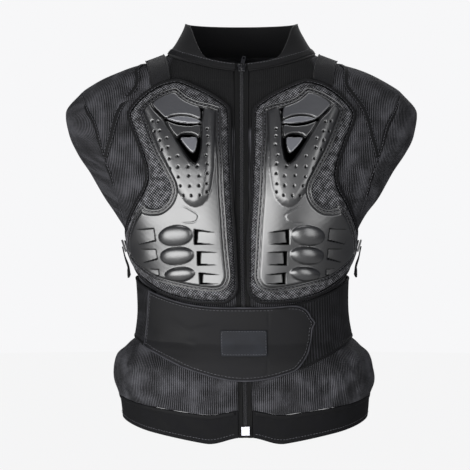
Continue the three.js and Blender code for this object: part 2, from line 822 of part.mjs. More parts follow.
// Flat tabs beside the domes: four corners each, across and down the plate
const tabs = [
  { nearTop: [0.09, 0.696], nearBottom: [0.09, 0.75], farTop: [0.284, 0.684], farBottom: [0.284, 0.746] },
  { nearTop: [0.085, 0.795], nearBottom: [0.085, 0.852], farTop: [0.27, 0.79], farBottom: [0.27, 0.86] },
  { nearTop: [0.085, 0.912], nearBottom: [0.085, 0.95], farTop: [0.256, 0.9], farBottom: [0.256, 0.95] },
  { nearTop: [0.642, 0.665], nearBottom: [0.628, 0.73], farTop: [0.85, 0.67], farBottom: [0.79, 0.745] },
  { nearTop: [0.621, 0.772], nearBottom: [0.614, 0.825], farTop: [0.796, 0.772], farBottom: [0.761, 0.84] },
  { nearTop: [0.607, 0.878], nearBottom: [0.607, 0.92], farTop: [0.726, 0.871], farBottom: [0.684, 0.92] },
];
const domes = [
  { across: 0.46, down: 0.707, size: 1 },
  { across: 0.446, down: 0.806, size: 0.97 },
  { across: 0.432, down: 0.905, size: 0.88 },
];

function onPlate([across, down]) {
  return {
    across: plateFrame.inset + across * plateFrame.width,
    z: plateFrame.top - down * plateFrame.height,
  };
}

// A raised strip of the plate, rooted inside its wall
function raisedStrip({ stations, sign, height }) {
  const flat = (s, t) => {
    const inner = onPlate(stations[t].inner);
    const outer = onPlate(stations[t].outer);
    return {
      across: THREE.MathUtils.lerp(inner.across, outer.across, s),
      z: THREE.MathUtils.lerp(inner.z, outer.z, s),
    };
  };
  return wall({
    across: [0, 1],
    up: stations.map((_, index) => index),
    place: (s, t) => {
      const { across, z } = flat(s, t);
      return { angle: girthAngle(sign * across, z, false), z };
    },
    inner: (s, t) => plateTop(flat(s, t)) - plateRoot,
    outer: (s, t) => plateTop(flat(s, t)) + height,
  });
}

// Axes on the body: x along the cloth, y up it and z out of it
function frameAt(angle, z, lift) {
  const normal = surfaceNormal(angle, z);
  const up = torsoPoint(angle, z + 1).sub(torsoPoint(angle, z - 1)).normalize();
  const across = up.clone().cross(normal).normalize();
  return new THREE.Matrix4().makeBasis(across, normal.clone().cross(across), normal)
    .setPosition(onBody(angle, z, lift));
}

function chestPlate(sign) {
  let plate = solidOf(outlinePanel({
    rows: plateOutline,
    columns: plateColumns,
    sign,
    inner: (place) => plateTop(place) - plateWall - (place.edge ? plateStep : 0),
    outer: (place) => plateTop(place) - (place.edge ? plateStep : 0),
  }));
  const strips = [
    { stations: vRib, height: ribHeight },
    { stations: crescent, height: finHeight },
    { stations: arch, height: finHeight },
    ...tabs.map((tab) => ({
      stations: [{ inner: tab.nearTop, outer: tab.nearBottom }, { inner: tab.farTop, outer: tab.farBottom }],
      height: tabHeight,
    })),
  ];
  for (const strip of strips) plate = plate.add(solidOf(raisedStrip({ ...strip, sign })));
  for (const dome of domes) {
    const place = onPlate([dome.across, dome.down]);
    const shape = new THREE.SphereGeometry(1, domeSides, domeRings);
    shape.rotateX(Math.PI / 2);
    shape.scale((dome.size * domeLength) / 2, (dome.size * domeWidth) / 2, domeHeight);
    shape.applyMatrix4(frameAt(girthAngle(sign * place.across, place.z, false), place.z, plateTop(place)));
    plate = plate.add(solidOf(shape).subtract(blockUnder(sign, place)));
  }
  return geometryOf(plate);
}

// The block under a dome that keeps it from coming out of the back of the plate
function blockUnder(sign, place) {
  const block = new THREE.BoxGeometry(2 * domeLength, 2 * domeLength, domeLength);
  block.translate(0, 0, -domeLength / 2);
  const lift = plateTop(place) - plateRoot;
  block.applyMatrix4(frameAt(girthAngle(sign * place.across, place.z, false), place.z, lift));
  return solidOf(block);
}

for (const { name, sign } of sides) {
  addPiece(`chest_pad_${name}`, outlinePanel({
    rows: padBody,
    columns: padColumns,
    sign,
    inner: () => padBase,
    outer: (place) => padBase + (place.edge ? padEdgeThickness : padThickness + 0.8 * guardSwell(place)),
  }), checkCloth);
  addPiece(`pad_binding_${name}`, outlineBinding({ rows: padOutline, sign }), edging);
  addPiece(`chest_plate_${name}`, chestPlate(sign), plastic);
}

// Back pad, finished plainly, with a bound edge
const backPadTable = [
  { down: 0, half: 0.8 },
  { down: 0.03, half: 0.9 },
  { down: 0.1, half: 0.96 },
  { down: 0.2, half: 0.99 },
  { down: 0.32, half: 1 },
  { down: 0.44, half: 0.99 },
  { down: 0.56, half: 0.97 },
  { down: 0.68, half: 0.94 },
  { down: 0.8, half: 0.9 },
  { down: 0.91, half: 0.84 },
  { down: 0.97, half: 0.77 },
  { down: 1, half: 0.68 },
];
const backPadOutline = backPadTable.map(({ down, half }) => {
  const z = -backPadDrop - down * backPadHeight;
  return { near: { across: -half * backPadHalfWidth, z }, far: { across: half * backPadHalfWidth, z } };
});
addPiece('back_pad', outlinePanel({
  rows: shrinkOutline(backPadOutline, bindingWidth + 3 * seamGap),
  columns: shares(8),
  sign: 1,
  fromBack: true,
  inner: () => padBase,
  outer: ({ edge }) => padBase + (edge ? padEdgeThickness : 1.125 * padThickness),
}), checkCloth);
addPiece('back_pad_binding', outlineBinding({ rows: backPadOutline, sign: 1, fromBack: true }), edging);

// Waist belt: elastic round the back, an elastic wing under a smooth wing in front
function beltPiece({ start, end, columns, rows, top, bottom, inner, outer }) {
  return wall({
    across: shares(columns),
    up: shares(rows),
    place: (s, t) => {
      const angle = THREE.MathUtils.lerp(start, end, s) * degree;
      return { angle, z: THREE.MathUtils.lerp(bottom(angle), top(angle), t) };
    },
    inner,
    outer,
  });
}
const beltTop = (angle) => beltEdge(angle, 1);
const beltBottom = (angle) => beltEdge(angle, -1);
const elasticBase = meshWall + layerGap;
addPiece('belt_back', beltPiece({
  start: elasticSeam + beltSeamTurn,
  end: 360 + wingStart + beltUnderlap,
  columns: 24,
  rows: 4,
  top: beltTop,
  bottom: beltBottom,
  inner: elasticBase,
  outer: elasticBase + elasticWall,
}), smoothCloth);
addPiece('belt_under_wing', beltPiece({
  start: elasticFrontEnd,
  end: elasticSeam,
  columns: 15,
  rows: 4,
  top: beltTop,
  bottom: beltBottom,
  inner: elasticBase,
  outer: elasticBase + elasticWall,
}), smoothCloth);

// The smooth wing ends in a rounded tip: rows along its edges as shares of the belt height
const wingTip = [
  { turn: 16, top: 0, bottom: 0 },
  { turn: 10, top: 0.02, bottom: 0.06 },
  { turn: 5, top: 0.08, bottom: 0.16 },
  { turn: 2, top: 0.16, bottom: 0.28 },
  { turn: 0, top: 0.26, bottom: 0.46 },
];
function wingTrim(angle, edge) {
  const turn = wingEnd - angle / degree;
  const index = wingTip.findIndex((row) => row.turn <= turn);
  if (index <= 0) return index === 0 ? 0 : wingTip[wingTip.length - 1][edge] * beltHeight;
  const [outer, inner] = [wingTip[index], wingTip[index - 1]];
  const share = (turn - outer.turn) / (inner.turn - outer.turn);
  return THREE.MathUtils.lerp(outer[edge], inner[edge], share) * beltHeight;
}
const wingBase = elasticBase + elasticWall + layerGap;
const wingAngles = [
  ...shares(12).map((share) => THREE.MathUtils.lerp(wingStart, wingEnd - wingTip[0].turn, share)),
  ...wingTip.slice(1).map((row) => wingEnd - row.turn),
];
addPiece('belt_front_wing', wall({
  across: wingAngles,
  up: shares(4),
  place: (s, t) => {
    const angle = s * degree;
    const top = beltTop(angle) - wingTrim(angle, 'top');
    const bottom = beltBottom(angle) + wingTrim(angle, 'bottom');
    return { angle, z: THREE.MathUtils.lerp(bottom, top, t) };
  },
  inner: wingBase,
  outer: wingBase + wingWall,
}), smoothCloth);
addPiece('belt_patch', wall({
  across: shares(4),
  up: shares(2),
  place: (s, t) => {
    const z = waistHeight + (t - 0.5) * patchHeight;
    return { angle: girthAngle((s - 0.5) * patchWidth, z, false), z };
  },
  inner: wingBase + wingWall + patchGap,
  outer: wingBase + wingWall + patchGap + patchWall,
}), smoothCloth);

// Straps over the shoulders, between the chest pads and the back pad
function shoulderPlace(x, y) {
  let low = levelHeight(3.5);
  let high = levelHeight(5.4);
  for (let step = 0; step < 30; step += 1) {
    const middle = (low + high) / 2;
    const section = sectionAt(middle);
    const depth = y < 0 ? section.front : section.back;
    const sum = (Math.abs(x) / section.half) ** section.power + (Math.abs(y) / depth) ** section.power;
    if (sum < 1) low = middle;
    else high = middle;
  }
  return { angle: Math.atan2(x, -y), z: (low + high) / 2 };
}

function depthAt(x, z, back) {
  const section = sectionAt(z);
  const share = 1 - (Math.abs(x) / section.half) ** section.power;
  return (back ? section.back : -section.front) * share ** (1 / section.power);
}

for (const { name, sign } of sides) {
  addPiece(`shoulder_strap_${name}`, wall({
    across: shares(2),
    up: shares(12),
    place: (s, t) => {
      const spread = strapSpread * Math.sin(Math.PI * t);
      const x = shoulderStrapInner + s * shoulderStrapWidth;
      const front = depthAt(x, -padDrop + layerGap - s * strapEndSlope, false);
      const back = depthAt(x, -backPadDrop + strapWall, true);
      return shoulderPlace(sign * (x + spread), THREE.MathUtils.lerp(front, back, t));
    },
    inner: padBase,
    outer: padBase + strapWall,
  }), webbing);
}

// Side straps from the back pad to a buckle beside the chest pad, with a hanging tail
const sideStrapRoute = [
  { angle: 126, down: 0.86, lift: 0 },
  { angle: 116, down: 0.83, lift: 0 },
  { angle: 106, down: 0.8, lift: 0 },
  { angle: 97, down: 0.78, lift: 0.22 },
  { angle: 90, down: 0.765, lift: 0.74 },
  { angle: 85, down: 0.755, lift: 1 },
];
const buckleLift = padBase + 0.875 * padThickness;

function buckle() {
  const slot = (buckleHeight - 3 * buckleBar) / 2;
  const slots = [-1, 1].map((side) => {
    return new THREE.Path(rectangle(buckleWidth - 2 * buckleBar, slot, (side * (slot + buckleBar)) / 2));
  });
  return plateShape(rectangle(buckleWidth, buckleHeight), buckleWall, slots);
}

for (const { name, sign } of sides) {
  const buckleZ = -padDrop - buckleDown * padHeight;
  addPiece(`side_strap_${name}`, bandAlong({
    path: denser(sideStrapRoute, 2).map((row) => ({
      angle: sign * row.angle * degree,
      z: -padDrop - row.down * padHeight,
      lift: row.lift * strapRise,
    })),
    near: -sideStrapWidth / 2,
    far: sideStrapWidth / 2,
    inner: padBase,
    outer: padBase + strapWall,
  }), webbing);
  const frame = buckle();
  frame.applyMatrix4(frameAt(sign * buckleAngle * degree, buckleZ, buckleLift));
  addPiece(`side_buckle_${name}`, frame, plastic);
  const tailTop = buckleZ - buckleBar;
  addPiece(`strap_tail_${name}`, bandAlong({
    path: shares(4).map((share) => ({
      angle: sign * (buckleAngle - tailDrift * share) * degree,
      z: tailTop - share * tailLength,
    })),
    near: -tailWidth / 2,
    far: tailWidth / 2,
    inner: buckleLift + buckleWall + seamGap,
    outer: buckleLift + buckleWall + seamGap + strapWall,
  }), webbing);
}

// Zip: two tapes, the coil between them, the box at its foot and the slider near the collar
const zipRows = [0, 1, 1.45, 1.85, 2, 2.3, 2.6, 3, 3.36, 3.74, 4.22, 5];
function zipStrip(from, to, inner, outer) {
  const heights = zipRows.map((level) => rowHeight(0, level));
  heights.push(rowHeight(0, 5) + collarFrontHeight);
  return wall({
    across: [from, to],
    up: heights,
    place: (s, t) => ({ angle: girthAngle(s, t, false), z: t }),
    inner,
    outer,
  });
}
for (const { name, sign } of sides) {
  const edges = [coilHalfWidth + seamGap, zipHalfWidth].map((edge) => sign * edge);
  addPiece(`zip_tape_${name}`, zipStrip(Math.min(...edges), Math.max(...edges), 0, meshWall), webbing);
}
addPiece('zip_coil', zipStrip(-coilHalfWidth, coilHalfWidth, -coilHeight / 2, coilHeight), plastic);

const hardwareBase = coilHeight + pinGap;
const sliderTop = hardwareBase + sliderHeight;
const crownGap = pullThickness + 2 * pinGap;
const sliderFrame = frameAt(0, rowHeight(0, 5) + collarFrontHeight - sliderDrop, 0);

function sliderGeometry() {
  const half = sliderWidth / 2;
  const long = sliderLength / 2;
  const body = plateShape([
    [-0.7 * half, -long], [0.7 * half, -long], [0.8 * half, 0], [half, 0.8 * long],
    [0.8 * half, long], [-0.8 * half, long], [-half, 0.8 * long], [-0.8 * half, 0],
  ], sliderHeight);
  body.translate(0, 0, hardwareBase);
  const block = new THREE.BoxGeometry(crownWidth, crownLength, crownGap + 2 * crownWall);
  block.translate(0, 0, sliderTop + crownGap / 2);
  const eye = new THREE.BoxGeometry(2 * crownWidth, crownLength - 2 * crownWall, crownGap);
  eye.translate(0, 0, sliderTop + crownGap / 2);
  return geometryOf(solidOf(body).add(solidOf(block).subtract(solidOf(eye))));
}
addPiece('zip_slider', sliderGeometry(), metal).applyMatrix4(sliderFrame);

// The pull hangs on its pin in the crown's eye and stands up beside the collar at rest
function pullGeometry() {
  const half = pullWidth / 2;
  const pin = (pullThickness - pinGap) / 2;
  const arm = half - crownWidth / 2 - pullArmGap;
  const slotLength = crownLength - crownWall - pin;
  const slot = new THREE.Path(rectangle(2 * (half - arm), slotLength, pin + slotLength / 2));
  const hole = new THREE.Path();
  hole.absarc(0, pullLength - 1.12 * half, pullHole / 2, 0, 2 * Math.PI, true);
  const tip = pullLength - 0.35 * half;
  const blade = plateShape([
    [-half, -pin], [half, -pin], [half, tip],
    [0.6 * half, pullLength], [-0.6 * half, pullLength], [-half, tip],
  ], pullThickness, [slot, hole]);
  return blade.translate(0, 0, -pullThickness / 2);
}
const pull = addPiece('zip_pull', pullGeometry(), metal);
pull.applyMatrix4(new THREE.Matrix4().makeRotationZ(-pullTilt * degree));
pull.applyMatrix4(new THREE.Matrix4().makeTranslation(0, 0, sliderTop + crownGap / 2));
pull.applyMatrix4(sliderFrame);

addPiece('zip_box', plateShape(rectangle(zipBoxWidth, zipBoxHeight), zipBoxThickness), metal)
  .applyMatrix4(frameAt(0, rowHeight(0, 0) + zipBoxHeight / 2 + boxDrop, hardwareBase + pinGap));

export default vest;
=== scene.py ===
import math

import bmesh
import bpy
import numpy as np
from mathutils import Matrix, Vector


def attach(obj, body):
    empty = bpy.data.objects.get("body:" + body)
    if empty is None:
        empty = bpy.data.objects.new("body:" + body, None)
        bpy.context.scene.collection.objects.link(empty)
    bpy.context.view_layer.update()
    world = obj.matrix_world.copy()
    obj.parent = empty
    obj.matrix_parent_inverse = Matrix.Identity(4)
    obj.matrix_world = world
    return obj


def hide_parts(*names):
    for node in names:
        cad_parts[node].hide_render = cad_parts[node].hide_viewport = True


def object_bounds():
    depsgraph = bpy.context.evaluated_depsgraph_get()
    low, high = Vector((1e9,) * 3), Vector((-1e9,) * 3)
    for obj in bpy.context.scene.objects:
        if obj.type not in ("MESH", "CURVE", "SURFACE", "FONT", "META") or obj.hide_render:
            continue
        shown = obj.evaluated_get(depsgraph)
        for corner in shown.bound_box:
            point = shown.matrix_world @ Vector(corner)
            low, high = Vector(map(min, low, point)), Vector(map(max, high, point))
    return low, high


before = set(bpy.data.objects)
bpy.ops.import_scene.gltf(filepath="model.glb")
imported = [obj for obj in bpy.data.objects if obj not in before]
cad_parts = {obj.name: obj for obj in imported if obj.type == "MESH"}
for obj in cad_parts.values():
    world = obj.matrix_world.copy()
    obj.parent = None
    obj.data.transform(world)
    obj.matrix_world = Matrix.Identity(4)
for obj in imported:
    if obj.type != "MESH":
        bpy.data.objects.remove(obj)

bl_info = {
    "name": "Armour vest",
    "version": (1, 0, 0),
    "blender": (4, 5, 0),
    "location": "View3D > Sidebar > Vest",
    "description": "Dresses the frame of a sleeveless motorcycle armour vest in cloth, pads and plates",
    "category": "Object",
}

CAD_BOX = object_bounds()
VEST = "vest"
MM = 0.001
DEGREE = math.pi / 180

# Half widths and depths of the body the vest is shaped to, in metres
CAP_HALF, CHEST_HALF, WAIST_HALF, HEM_HALF = 0.218, 0.158, 0.143, 0.170
NECK_HALF, COLLAR_HALF = 0.100, 0.074
FRONT_DEPTH, BACK_DEPTH, CAP_DEPTH, NECK_DEPTH = 0.112, 0.109, 0.080, 0.064

# Heights, counted from the shoulder seam
NECK_RISE, NECK_DIP, NECKLINE_POWER, NECKLINE_START = 0.008, 0.024, 1.4, 3.7
ARMHOLE_HALF_DEPTH, ARMHOLE_POWER = 0.070, 2.4
HEM_SIDE_RISE, HEM_SAG, HEM_SWAY = 0.016, 0.009, 0.0055
COLLAR_FRONT, COLLAR_RISE, COLLAR_TURN, COLLAR_SPREAD = 0.010, 0.033, 35, 37
# The hem's hang, in degrees round from the zip: where it grows, eases by a share, and ends
HANG_GROWS, HANG_EASES, HANG_ENDS, HANG_EASE = (3, 26), (55, 85), (90, 150), 0.35
PAD_DROP, PAD_HEIGHT, PAD_INSET, PAD_WIDTH = 0.029, 0.296, 0.005, 0.187
BELT_HEIGHT, BELT_TOP_RISE, BELT_BOTTOM_RISE = 0.098, 0.033, 0.048
WAIST = -(PAD_DROP + PAD_HEIGHT + 0.004 + BELT_HEIGHT / 2)
HEM_TOP = WAIST - BELT_HEIGHT / 2 - 0.039
LEVELS = np.array([HEM_TOP - 0.037, HEM_TOP, WAIST, -0.232, -0.044, NECK_RISE, NECK_RISE + 0.043])

# Distances of the layers from the body
MESH_WALL, LAYER_GAP, PAD_GAP, PLATE_GAP = 0.0012, 0.0016, 0.0021, 0.0013
PAD_BASE = MESH_WALL + PAD_GAP
PAD_THICK, BINDING_WIDTH, BINDING_THICK = 0.008, 0.005, 0.0046
PAD_RIM, PAD_SEAM = 2.2 * MM, 5.4 * MM
PLATE_INSET, PLATE_WIDTH, PLATE_TOP, PLATE_HEIGHT = 0.0155, 0.143, -0.044, 0.263
PLATE_WALL, PLATE_STEP, PLATE_CROWN = 0.003, 0.002, 0.007
PLATE_BASE = PAD_BASE + PAD_THICK + PLATE_GAP
ELASTIC_BASE, ELASTIC_WALL, WING_WALL = MESH_WALL + LAYER_GAP, 0.0022, 0.0032
WING_BASE = ELASTIC_BASE + ELASTIC_WALL + LAYER_GAP
ZIP_HALF, SEAM_GAP, BODY_RADIUS = 0.00951, 0.17 * MM, 0.15
MESH_SHEET = 0.9 * MESH_WALL

# Sections of the body: level, half width, depth in front, depth behind, power of the oval
SECTIONS = (
    (-0.5, 0.97 * HEM_HALF, 1.01 * FRONT_DEPTH, 0.95 * BACK_DEPTH, 2.3),
    (0, 0.98 * HEM_HALF, 1.01 * FRONT_DEPTH, 0.95 * BACK_DEPTH, 2.3),
    (1, HEM_HALF, 1.04 * FRONT_DEPTH, 0.99 * BACK_DEPTH, 2.3),
    (1.35, 1.03 * HEM_HALF, 1.06 * FRONT_DEPTH, BACK_DEPTH, 2.3),
    (1.65, 1.01 * HEM_HALF, 1.04 * FRONT_DEPTH, 0.97 * BACK_DEPTH, 2.3),
    (1.85, 1.1 * WAIST_HALF, FRONT_DEPTH, 0.92 * BACK_DEPTH, 2.3),
    (2, 1.02 * WAIST_HALF, 0.965 * FRONT_DEPTH, 0.88 * BACK_DEPTH, 2.3),
    (2.3, 0.985 * WAIST_HALF, 0.94 * FRONT_DEPTH, 0.85 * BACK_DEPTH, 2.3),
    (2.62, WAIST_HALF, 0.95 * FRONT_DEPTH, 0.88 * BACK_DEPTH, 2.3),
    (2.85, 0.95 * CHEST_HALF, 0.97 * FRONT_DEPTH, 0.93 * BACK_DEPTH, 2.4),
    (3, CHEST_HALF, 0.99 * FRONT_DEPTH, 0.96 * BACK_DEPTH, 2.4),
    (3.12, 1.08 * CHEST_HALF, FRONT_DEPTH, 0.98 * BACK_DEPTH, 2.4),
    (3.25, 1.19 * CHEST_HALF, FRONT_DEPTH, 1.01 * BACK_DEPTH, 2.4),
    (3.42, 0.945 * CAP_HALF, 0.98 * FRONT_DEPTH, 1.03 * BACK_DEPTH, 2.4),
    (3.55, 1.02 * CAP_HALF, 0.94 * FRONT_DEPTH, 1.03 * BACK_DEPTH, 2.4),
    (3.7, 1.08 * CAP_HALF, 1.22 * CAP_DEPTH, 1.01 * BACK_DEPTH, 2.4),
    (3.85, 1.1 * CAP_HALF, 1.11 * CAP_DEPTH, 0.965 * BACK_DEPTH, 2.35),
    (4, CAP_HALF, CAP_DEPTH, 0.89 * BACK_DEPTH, 2.25),
    (4.2, 0.93 * CAP_HALF, 0.96 * CAP_DEPTH, 0.855 * BACK_DEPTH, 2.2),
    (4.4, 0.845 * CAP_HALF, 0.92 * CAP_DEPTH, 0.82 * BACK_DEPTH, 2.15),
    (4.6, 0.725 * CAP_HALF, 0.875 * CAP_DEPTH, 0.78 * BACK_DEPTH, 2.1),
    (4.8, 0.57 * CAP_HALF, 1.04 * NECK_DEPTH, 1.23 * NECK_DEPTH, 2.05),
    (5, NECK_HALF, NECK_DEPTH, 1.14 * NECK_DEPTH, 2.0),
    (5.4, 0.86 * NECK_HALF, 0.955 * NECK_DEPTH, 1.05 * NECK_DEPTH, 2.0),
    (6, COLLAR_HALF, 0.94 * NECK_DEPTH, NECK_DEPTH, 2.0),
    (6.4, 0.97 * COLLAR_HALF, 0.94 * NECK_DEPTH, NECK_DEPTH, 2.0),
)


def level_height(level):
    step = np.clip(np.floor(level), 0, len(LEVELS) - 2).astype(int)
    return LEVELS[step] + (LEVELS[step + 1] - LEVELS[step]) * (level - step)


def monotone(knots, values, at):
    """Smooth curve through the values that never overshoots them."""
    rise = np.diff(values) / np.diff(knots)
    slope = np.zeros(len(values))
    same = rise[1:] * rise[:-1] > 0
    slope[1:-1][same] = 2 * rise[1:][same] * rise[:-1][same] / (rise[1:] + rise[:-1])[same]
    step = np.clip(np.searchsorted(knots, at) - 1, 0, len(knots) - 2)
    span = knots[step + 1] - knots[step]
    share = (at - knots[step]) / span
    square, cube = share ** 2, share ** 3
    return ((2 * cube - 3 * square + 1) * values[step] + (cube - 2 * square + share) * slope[step] * span
            + (3 * square - 2 * cube) * values[step + 1] + (cube - square) * slope[step + 1] * span)


SECTION_TABLE = np.array(SECTIONS, float)
SECTION_HEIGHTS = level_height(SECTION_TABLE[:, 0])
FINE_HEIGHTS = np.linspace(SECTION_HEIGHTS[0], SECTION_HEIGHTS[-1], 2400)
FINE_COLUMNS = [monotone(SECTION_HEIGHTS, SECTION_TABLE[:, column], FINE_HEIGHTS) for column in (1, 2, 3, 4)]


def section_at(z):
    """Half width, depth in front, depth behind and power of the body's oval at a height."""
    return [np.interp(z, FINE_HEIGHTS, column) for column in FINE_COLUMNS]


def torso(angle, z):
    """Points of the body; angle 0 is the zip and 90 degrees the wearer's left side."""
    angle, z = np.broadcast_arrays(np.asarray(angle, float), np.asarray(z, float))
    half, front, back, power = section_at(z)
    sway = HEM_SWAY * np.clip((LEVELS[3] - z) / (LEVELS[3] - LEVELS[0]), 0, 1)
    sine, cosine = np.sin(angle), np.cos(angle)
    depth = np.where(cosine >= 0, front, back)
    reach = ((np.abs(sine) / half) ** power + (np.abs(cosine) / depth) ** power) ** (-1 / power)
    return np.stack([sway + reach * sine, -reach * cosine, z], axis=-1)


def unit(vectors):
    return vectors / np.maximum(np.linalg.norm(vectors, axis=-1, keepdims=True), 1e-12)


def outward(angle, z):
    turn, rise = 0.4 * DEGREE, 0.6 * MM
    across = torso(angle + turn, z) - torso(angle - turn, z)
    up = torso(angle, z + rise) - torso(angle, z - rise)
    return unit(np.cross(across, up))


def on_body(angle, z, lift):
    return torso(angle, z) + outward(angle, z) * np.asarray(lift)[..., None]


# Lengths round the body from the zip, for every height and angle
GIRTH_STEP, GIRTH_TURNS = 3 * MM, 540
GIRTH_HEIGHTS = np.arange(-0.56, 0.1, GIRTH_STEP)
GIRTH_ANGLES = np.linspace(0, math.pi, GIRTH_TURNS + 1)
GIRTH_POINTS = torso(GIRTH_ANGLES[None, :], GIRTH_HEIGHTS[:, None])
GIRTH_LENGTHS = np.concatenate([
    np.zeros((len(GIRTH_HEIGHTS), 1)),
    np.cumsum(np.linalg.norm(np.diff(GIRTH_POINTS, axis=1), axis=-1), axis=1)], axis=1)
BACK_LENGTHS = GIRTH_LENGTHS[:, -1:] - GIRTH_LENGTHS[:, ::-1]


def girth(angle, z, table=GIRTH_LENGTHS):
    """Distance along the cloth from the zip to an angle."""
    row = np.clip((z - GIRTH_HEIGHTS[0]) / GIRTH_STEP, 0, len(GIRTH_HEIGHTS) - 1.001)
    column = np.clip(np.abs(angle) / math.pi * GIRTH_TURNS, 0, GIRTH_TURNS - 0.001)
    i, j = row.astype(int), column.astype(int)
    f, g = row - i, column - j
    length = ((1 - f) * ((1 - g) * table[i, j] + g * table[i, j + 1])
              + f * ((1 - g) * table[i + 1, j] + g * table[i + 1, j + 1]))
    return np.sign(angle) * length


def turn_at(distance, z, behind=False):
    """Angle at a distance along the cloth from the zip, or from the middle of the back."""
    table = BACK_LENGTHS if behind else GIRTH_LENGTHS
    distance, z = np.broadcast_arrays(np.asarray(distance, float), np.asarray(z, float))
    size = np.abs(distance)
    turn = np.clip(size / 0.12, 0, 3)
    nudge = 1.5 * DEGREE
    tiny, least_slope, last_turn = 1e-6, 0.02, 3.1
    for _ in range(7):
        before, after = girth(np.maximum(turn - nudge, tiny), z, table), girth(turn + nudge, z, table)
        slope = np.maximum((after - before) / (2 * nudge), least_slope)
        turn = np.clip(turn - (girth(np.maximum(turn, tiny), z, table) - size) / slope, 0, last_turn)
    turn = np.sign(distance) * turn
    return math.pi + turn if behind else turn


def signed_turn(angle):
    """The same angle between -180 and 180 degrees."""
    return np.where(angle > math.pi, angle - 2 * math.pi, angle)


def smoothstep(value, low, high):
    share = np.clip((value - low) / (high - low), 0, 1)
    return share * share * (3 - 2 * share)


def hem_hang(angle):
    """The hem hangs lower on both sides of the zip: share of the sag at an angle."""
    turn = np.arccos(np.clip(np.cos(angle), -1, 1)) / DEGREE
    front = smoothstep(turn, *HANG_GROWS) * (1 - HANG_EASE * smoothstep(turn, *HANG_EASES))
    return front * (1 - smoothstep(turn, *HANG_ENDS))


def row_height(angle, level):
    """Height of a garment row: the neckline dips in front and the hem rises at the sides."""
    angle, level = np.broadcast_arrays(np.asarray(angle, float), np.asarray(level, float))
    z = level_height(level)
    anchor = level_height(np.array(NECKLINE_START))
    neckline = NECK_RISE - NECK_DIP * np.maximum(np.cos(angle), 0) ** NECKLINE_POWER
    high = anchor + (z - anchor) * (neckline - anchor) / (NECK_RISE - anchor)
    below = (LEVELS[2] - z) / (LEVELS[2] - LEVELS[1])
    low = z + (HEM_SIDE_RISE * np.sin(angle) ** 2 - HEM_SAG * hem_hang(angle)) * below
    return np.where(level > NECKLINE_START, high, np.where(level < 2, low, z))


def armhole_angle(level, behind):
    """Angle where a panel stops: the side seams, or the armhole between them."""
    z = level_height(level)
    half, front, back, power = section_at(z)
    middle = np.clip(np.abs(2 * (level - 3) - 1), 0, 1)
    reach = ARMHOLE_HALF_DEPTH * (1 - middle ** ARMHOLE_POWER) ** (1 / ARMHOLE_POWER)
    side = half * (1 - (reach / (back if behind else front)) ** power) ** (1 / power)
    return np.where((level > 3) & (level < 4), np.arctan2(side, reach), math.pi / 2)


def belt_edge(angle, edge):
    side = np.where(np.cos(angle) > 0, np.sin(angle) ** 2, 1.0)
    rise = BELT_TOP_RISE * side ** 2 if edge > 0 else BELT_BOTTOM_RISE * side
    return WAIST + edge * BELT_HEIGHT / 2 + rise


def collar_height(angle):
    turn = np.arccos(np.clip(np.cos(angle), -1, 1)) / DEGREE
    return COLLAR_FRONT + COLLAR_RISE * smoothstep(turn, COLLAR_TURN, COLLAR_TURN + COLLAR_SPREAD)


def ripple(u, z, scale, seed=0.0):
    """Slow uneven waves over the cloth, between about -1 and 1, the same on every run."""
    a, b = u / scale, z / scale
    return (np.sin(2.1 * a + 1.7 * b + seed) + np.sin(-1.3 * a + 2.6 * b + 2.4 + 1.7 * seed)
            + np.sin(3.4 * a - 0.9 * b + 4.1 - seed) + np.sin(0.6 * a + 4.2 * b + 0.7 * seed)) / 4


def fold_lift(angle, z, folds):
    """Height that a list of folds adds: from, to (angle in degrees, level), height, width in mm."""
    here = torso(angle, z)
    lift = np.zeros(here.shape[:-1])
    for (a0, l0), (a1, l1), height, width in folds:
        start = torso(a0 * DEGREE, level_height(np.array(l0, float)))
        line = torso(a1 * DEGREE, level_height(np.array(l1, float))) - start
        share = np.clip((here - start) @ line / (line @ line), 0, 1)
        away = np.linalg.norm(here - start - share[..., None] * line, axis=-1) / (width * MM)
        lift += height * MM * np.exp(-away ** 2) * (0.3 + 0.7 * np.sin(math.pi * share))
    return lift


# Flat outlines and reliefs

def smooth_loop(points, steps=6):
    """Closed curve through the points."""
    points = np.asarray(points, float)
    before, after, beyond = np.roll(points, 1, 0), np.roll(points, -1, 0), np.roll(points, -2, 0)
    shares = np.linspace(0, 1, steps, endpoint=False)[None, :, None]
    p0, p1, p2, p3 = (p[:, None, :] for p in (before, points, after, beyond))
    curve = 0.5 * (2 * p1 + (p2 - p0) * shares + (2 * p0 - 5 * p1 + 4 * p2 - p3) * shares ** 2
                   + (3 * p1 - p0 - 3 * p2 + p3) * shares ** 3)
    return curve.reshape(-1, 2)


def nearest_on(points, line, closed=True):
    """Distance from each point to a line of points, and the nearest place on it."""
    starts = line if closed else line[:-1]
    ends = np.roll(line, -1, 0) if closed else line[1:]
    best = np.full(len(points), np.inf)
    place = points.copy()
    for start, end in zip(starts, ends):
        span = end - start
        share = np.clip((points - start) @ span / max(span @ span, 1e-18), 0, 1)
        near = start + share[:, None] * span
        gap = np.linalg.norm(points - near, axis=1)
        closer = gap < best
        best[closer] = gap[closer]
        place[closer] = near[closer]
    return best, place


def inside(points, loop):
    crossings = np.zeros(len(points), int)
    x, y = points[:, 0], points[:, 1]
    for (x0, y0), (x1, y1) in zip(loop, np.roll(loop, -1, 0)):
        if y0 == y1:
            continue
        spans = (y0 > y) != (y1 > y)
        crossings += spans & (x < x0 + (y - y0) * (x1 - x0) / (y1 - y0))
    return crossings % 2 == 1


def depth_in(points, loop):
    """Distance inside a loop, negative outside it."""
    gap, _ = nearest_on(points, loop)
    return np.where(inside(points, loop), gap, -gap)


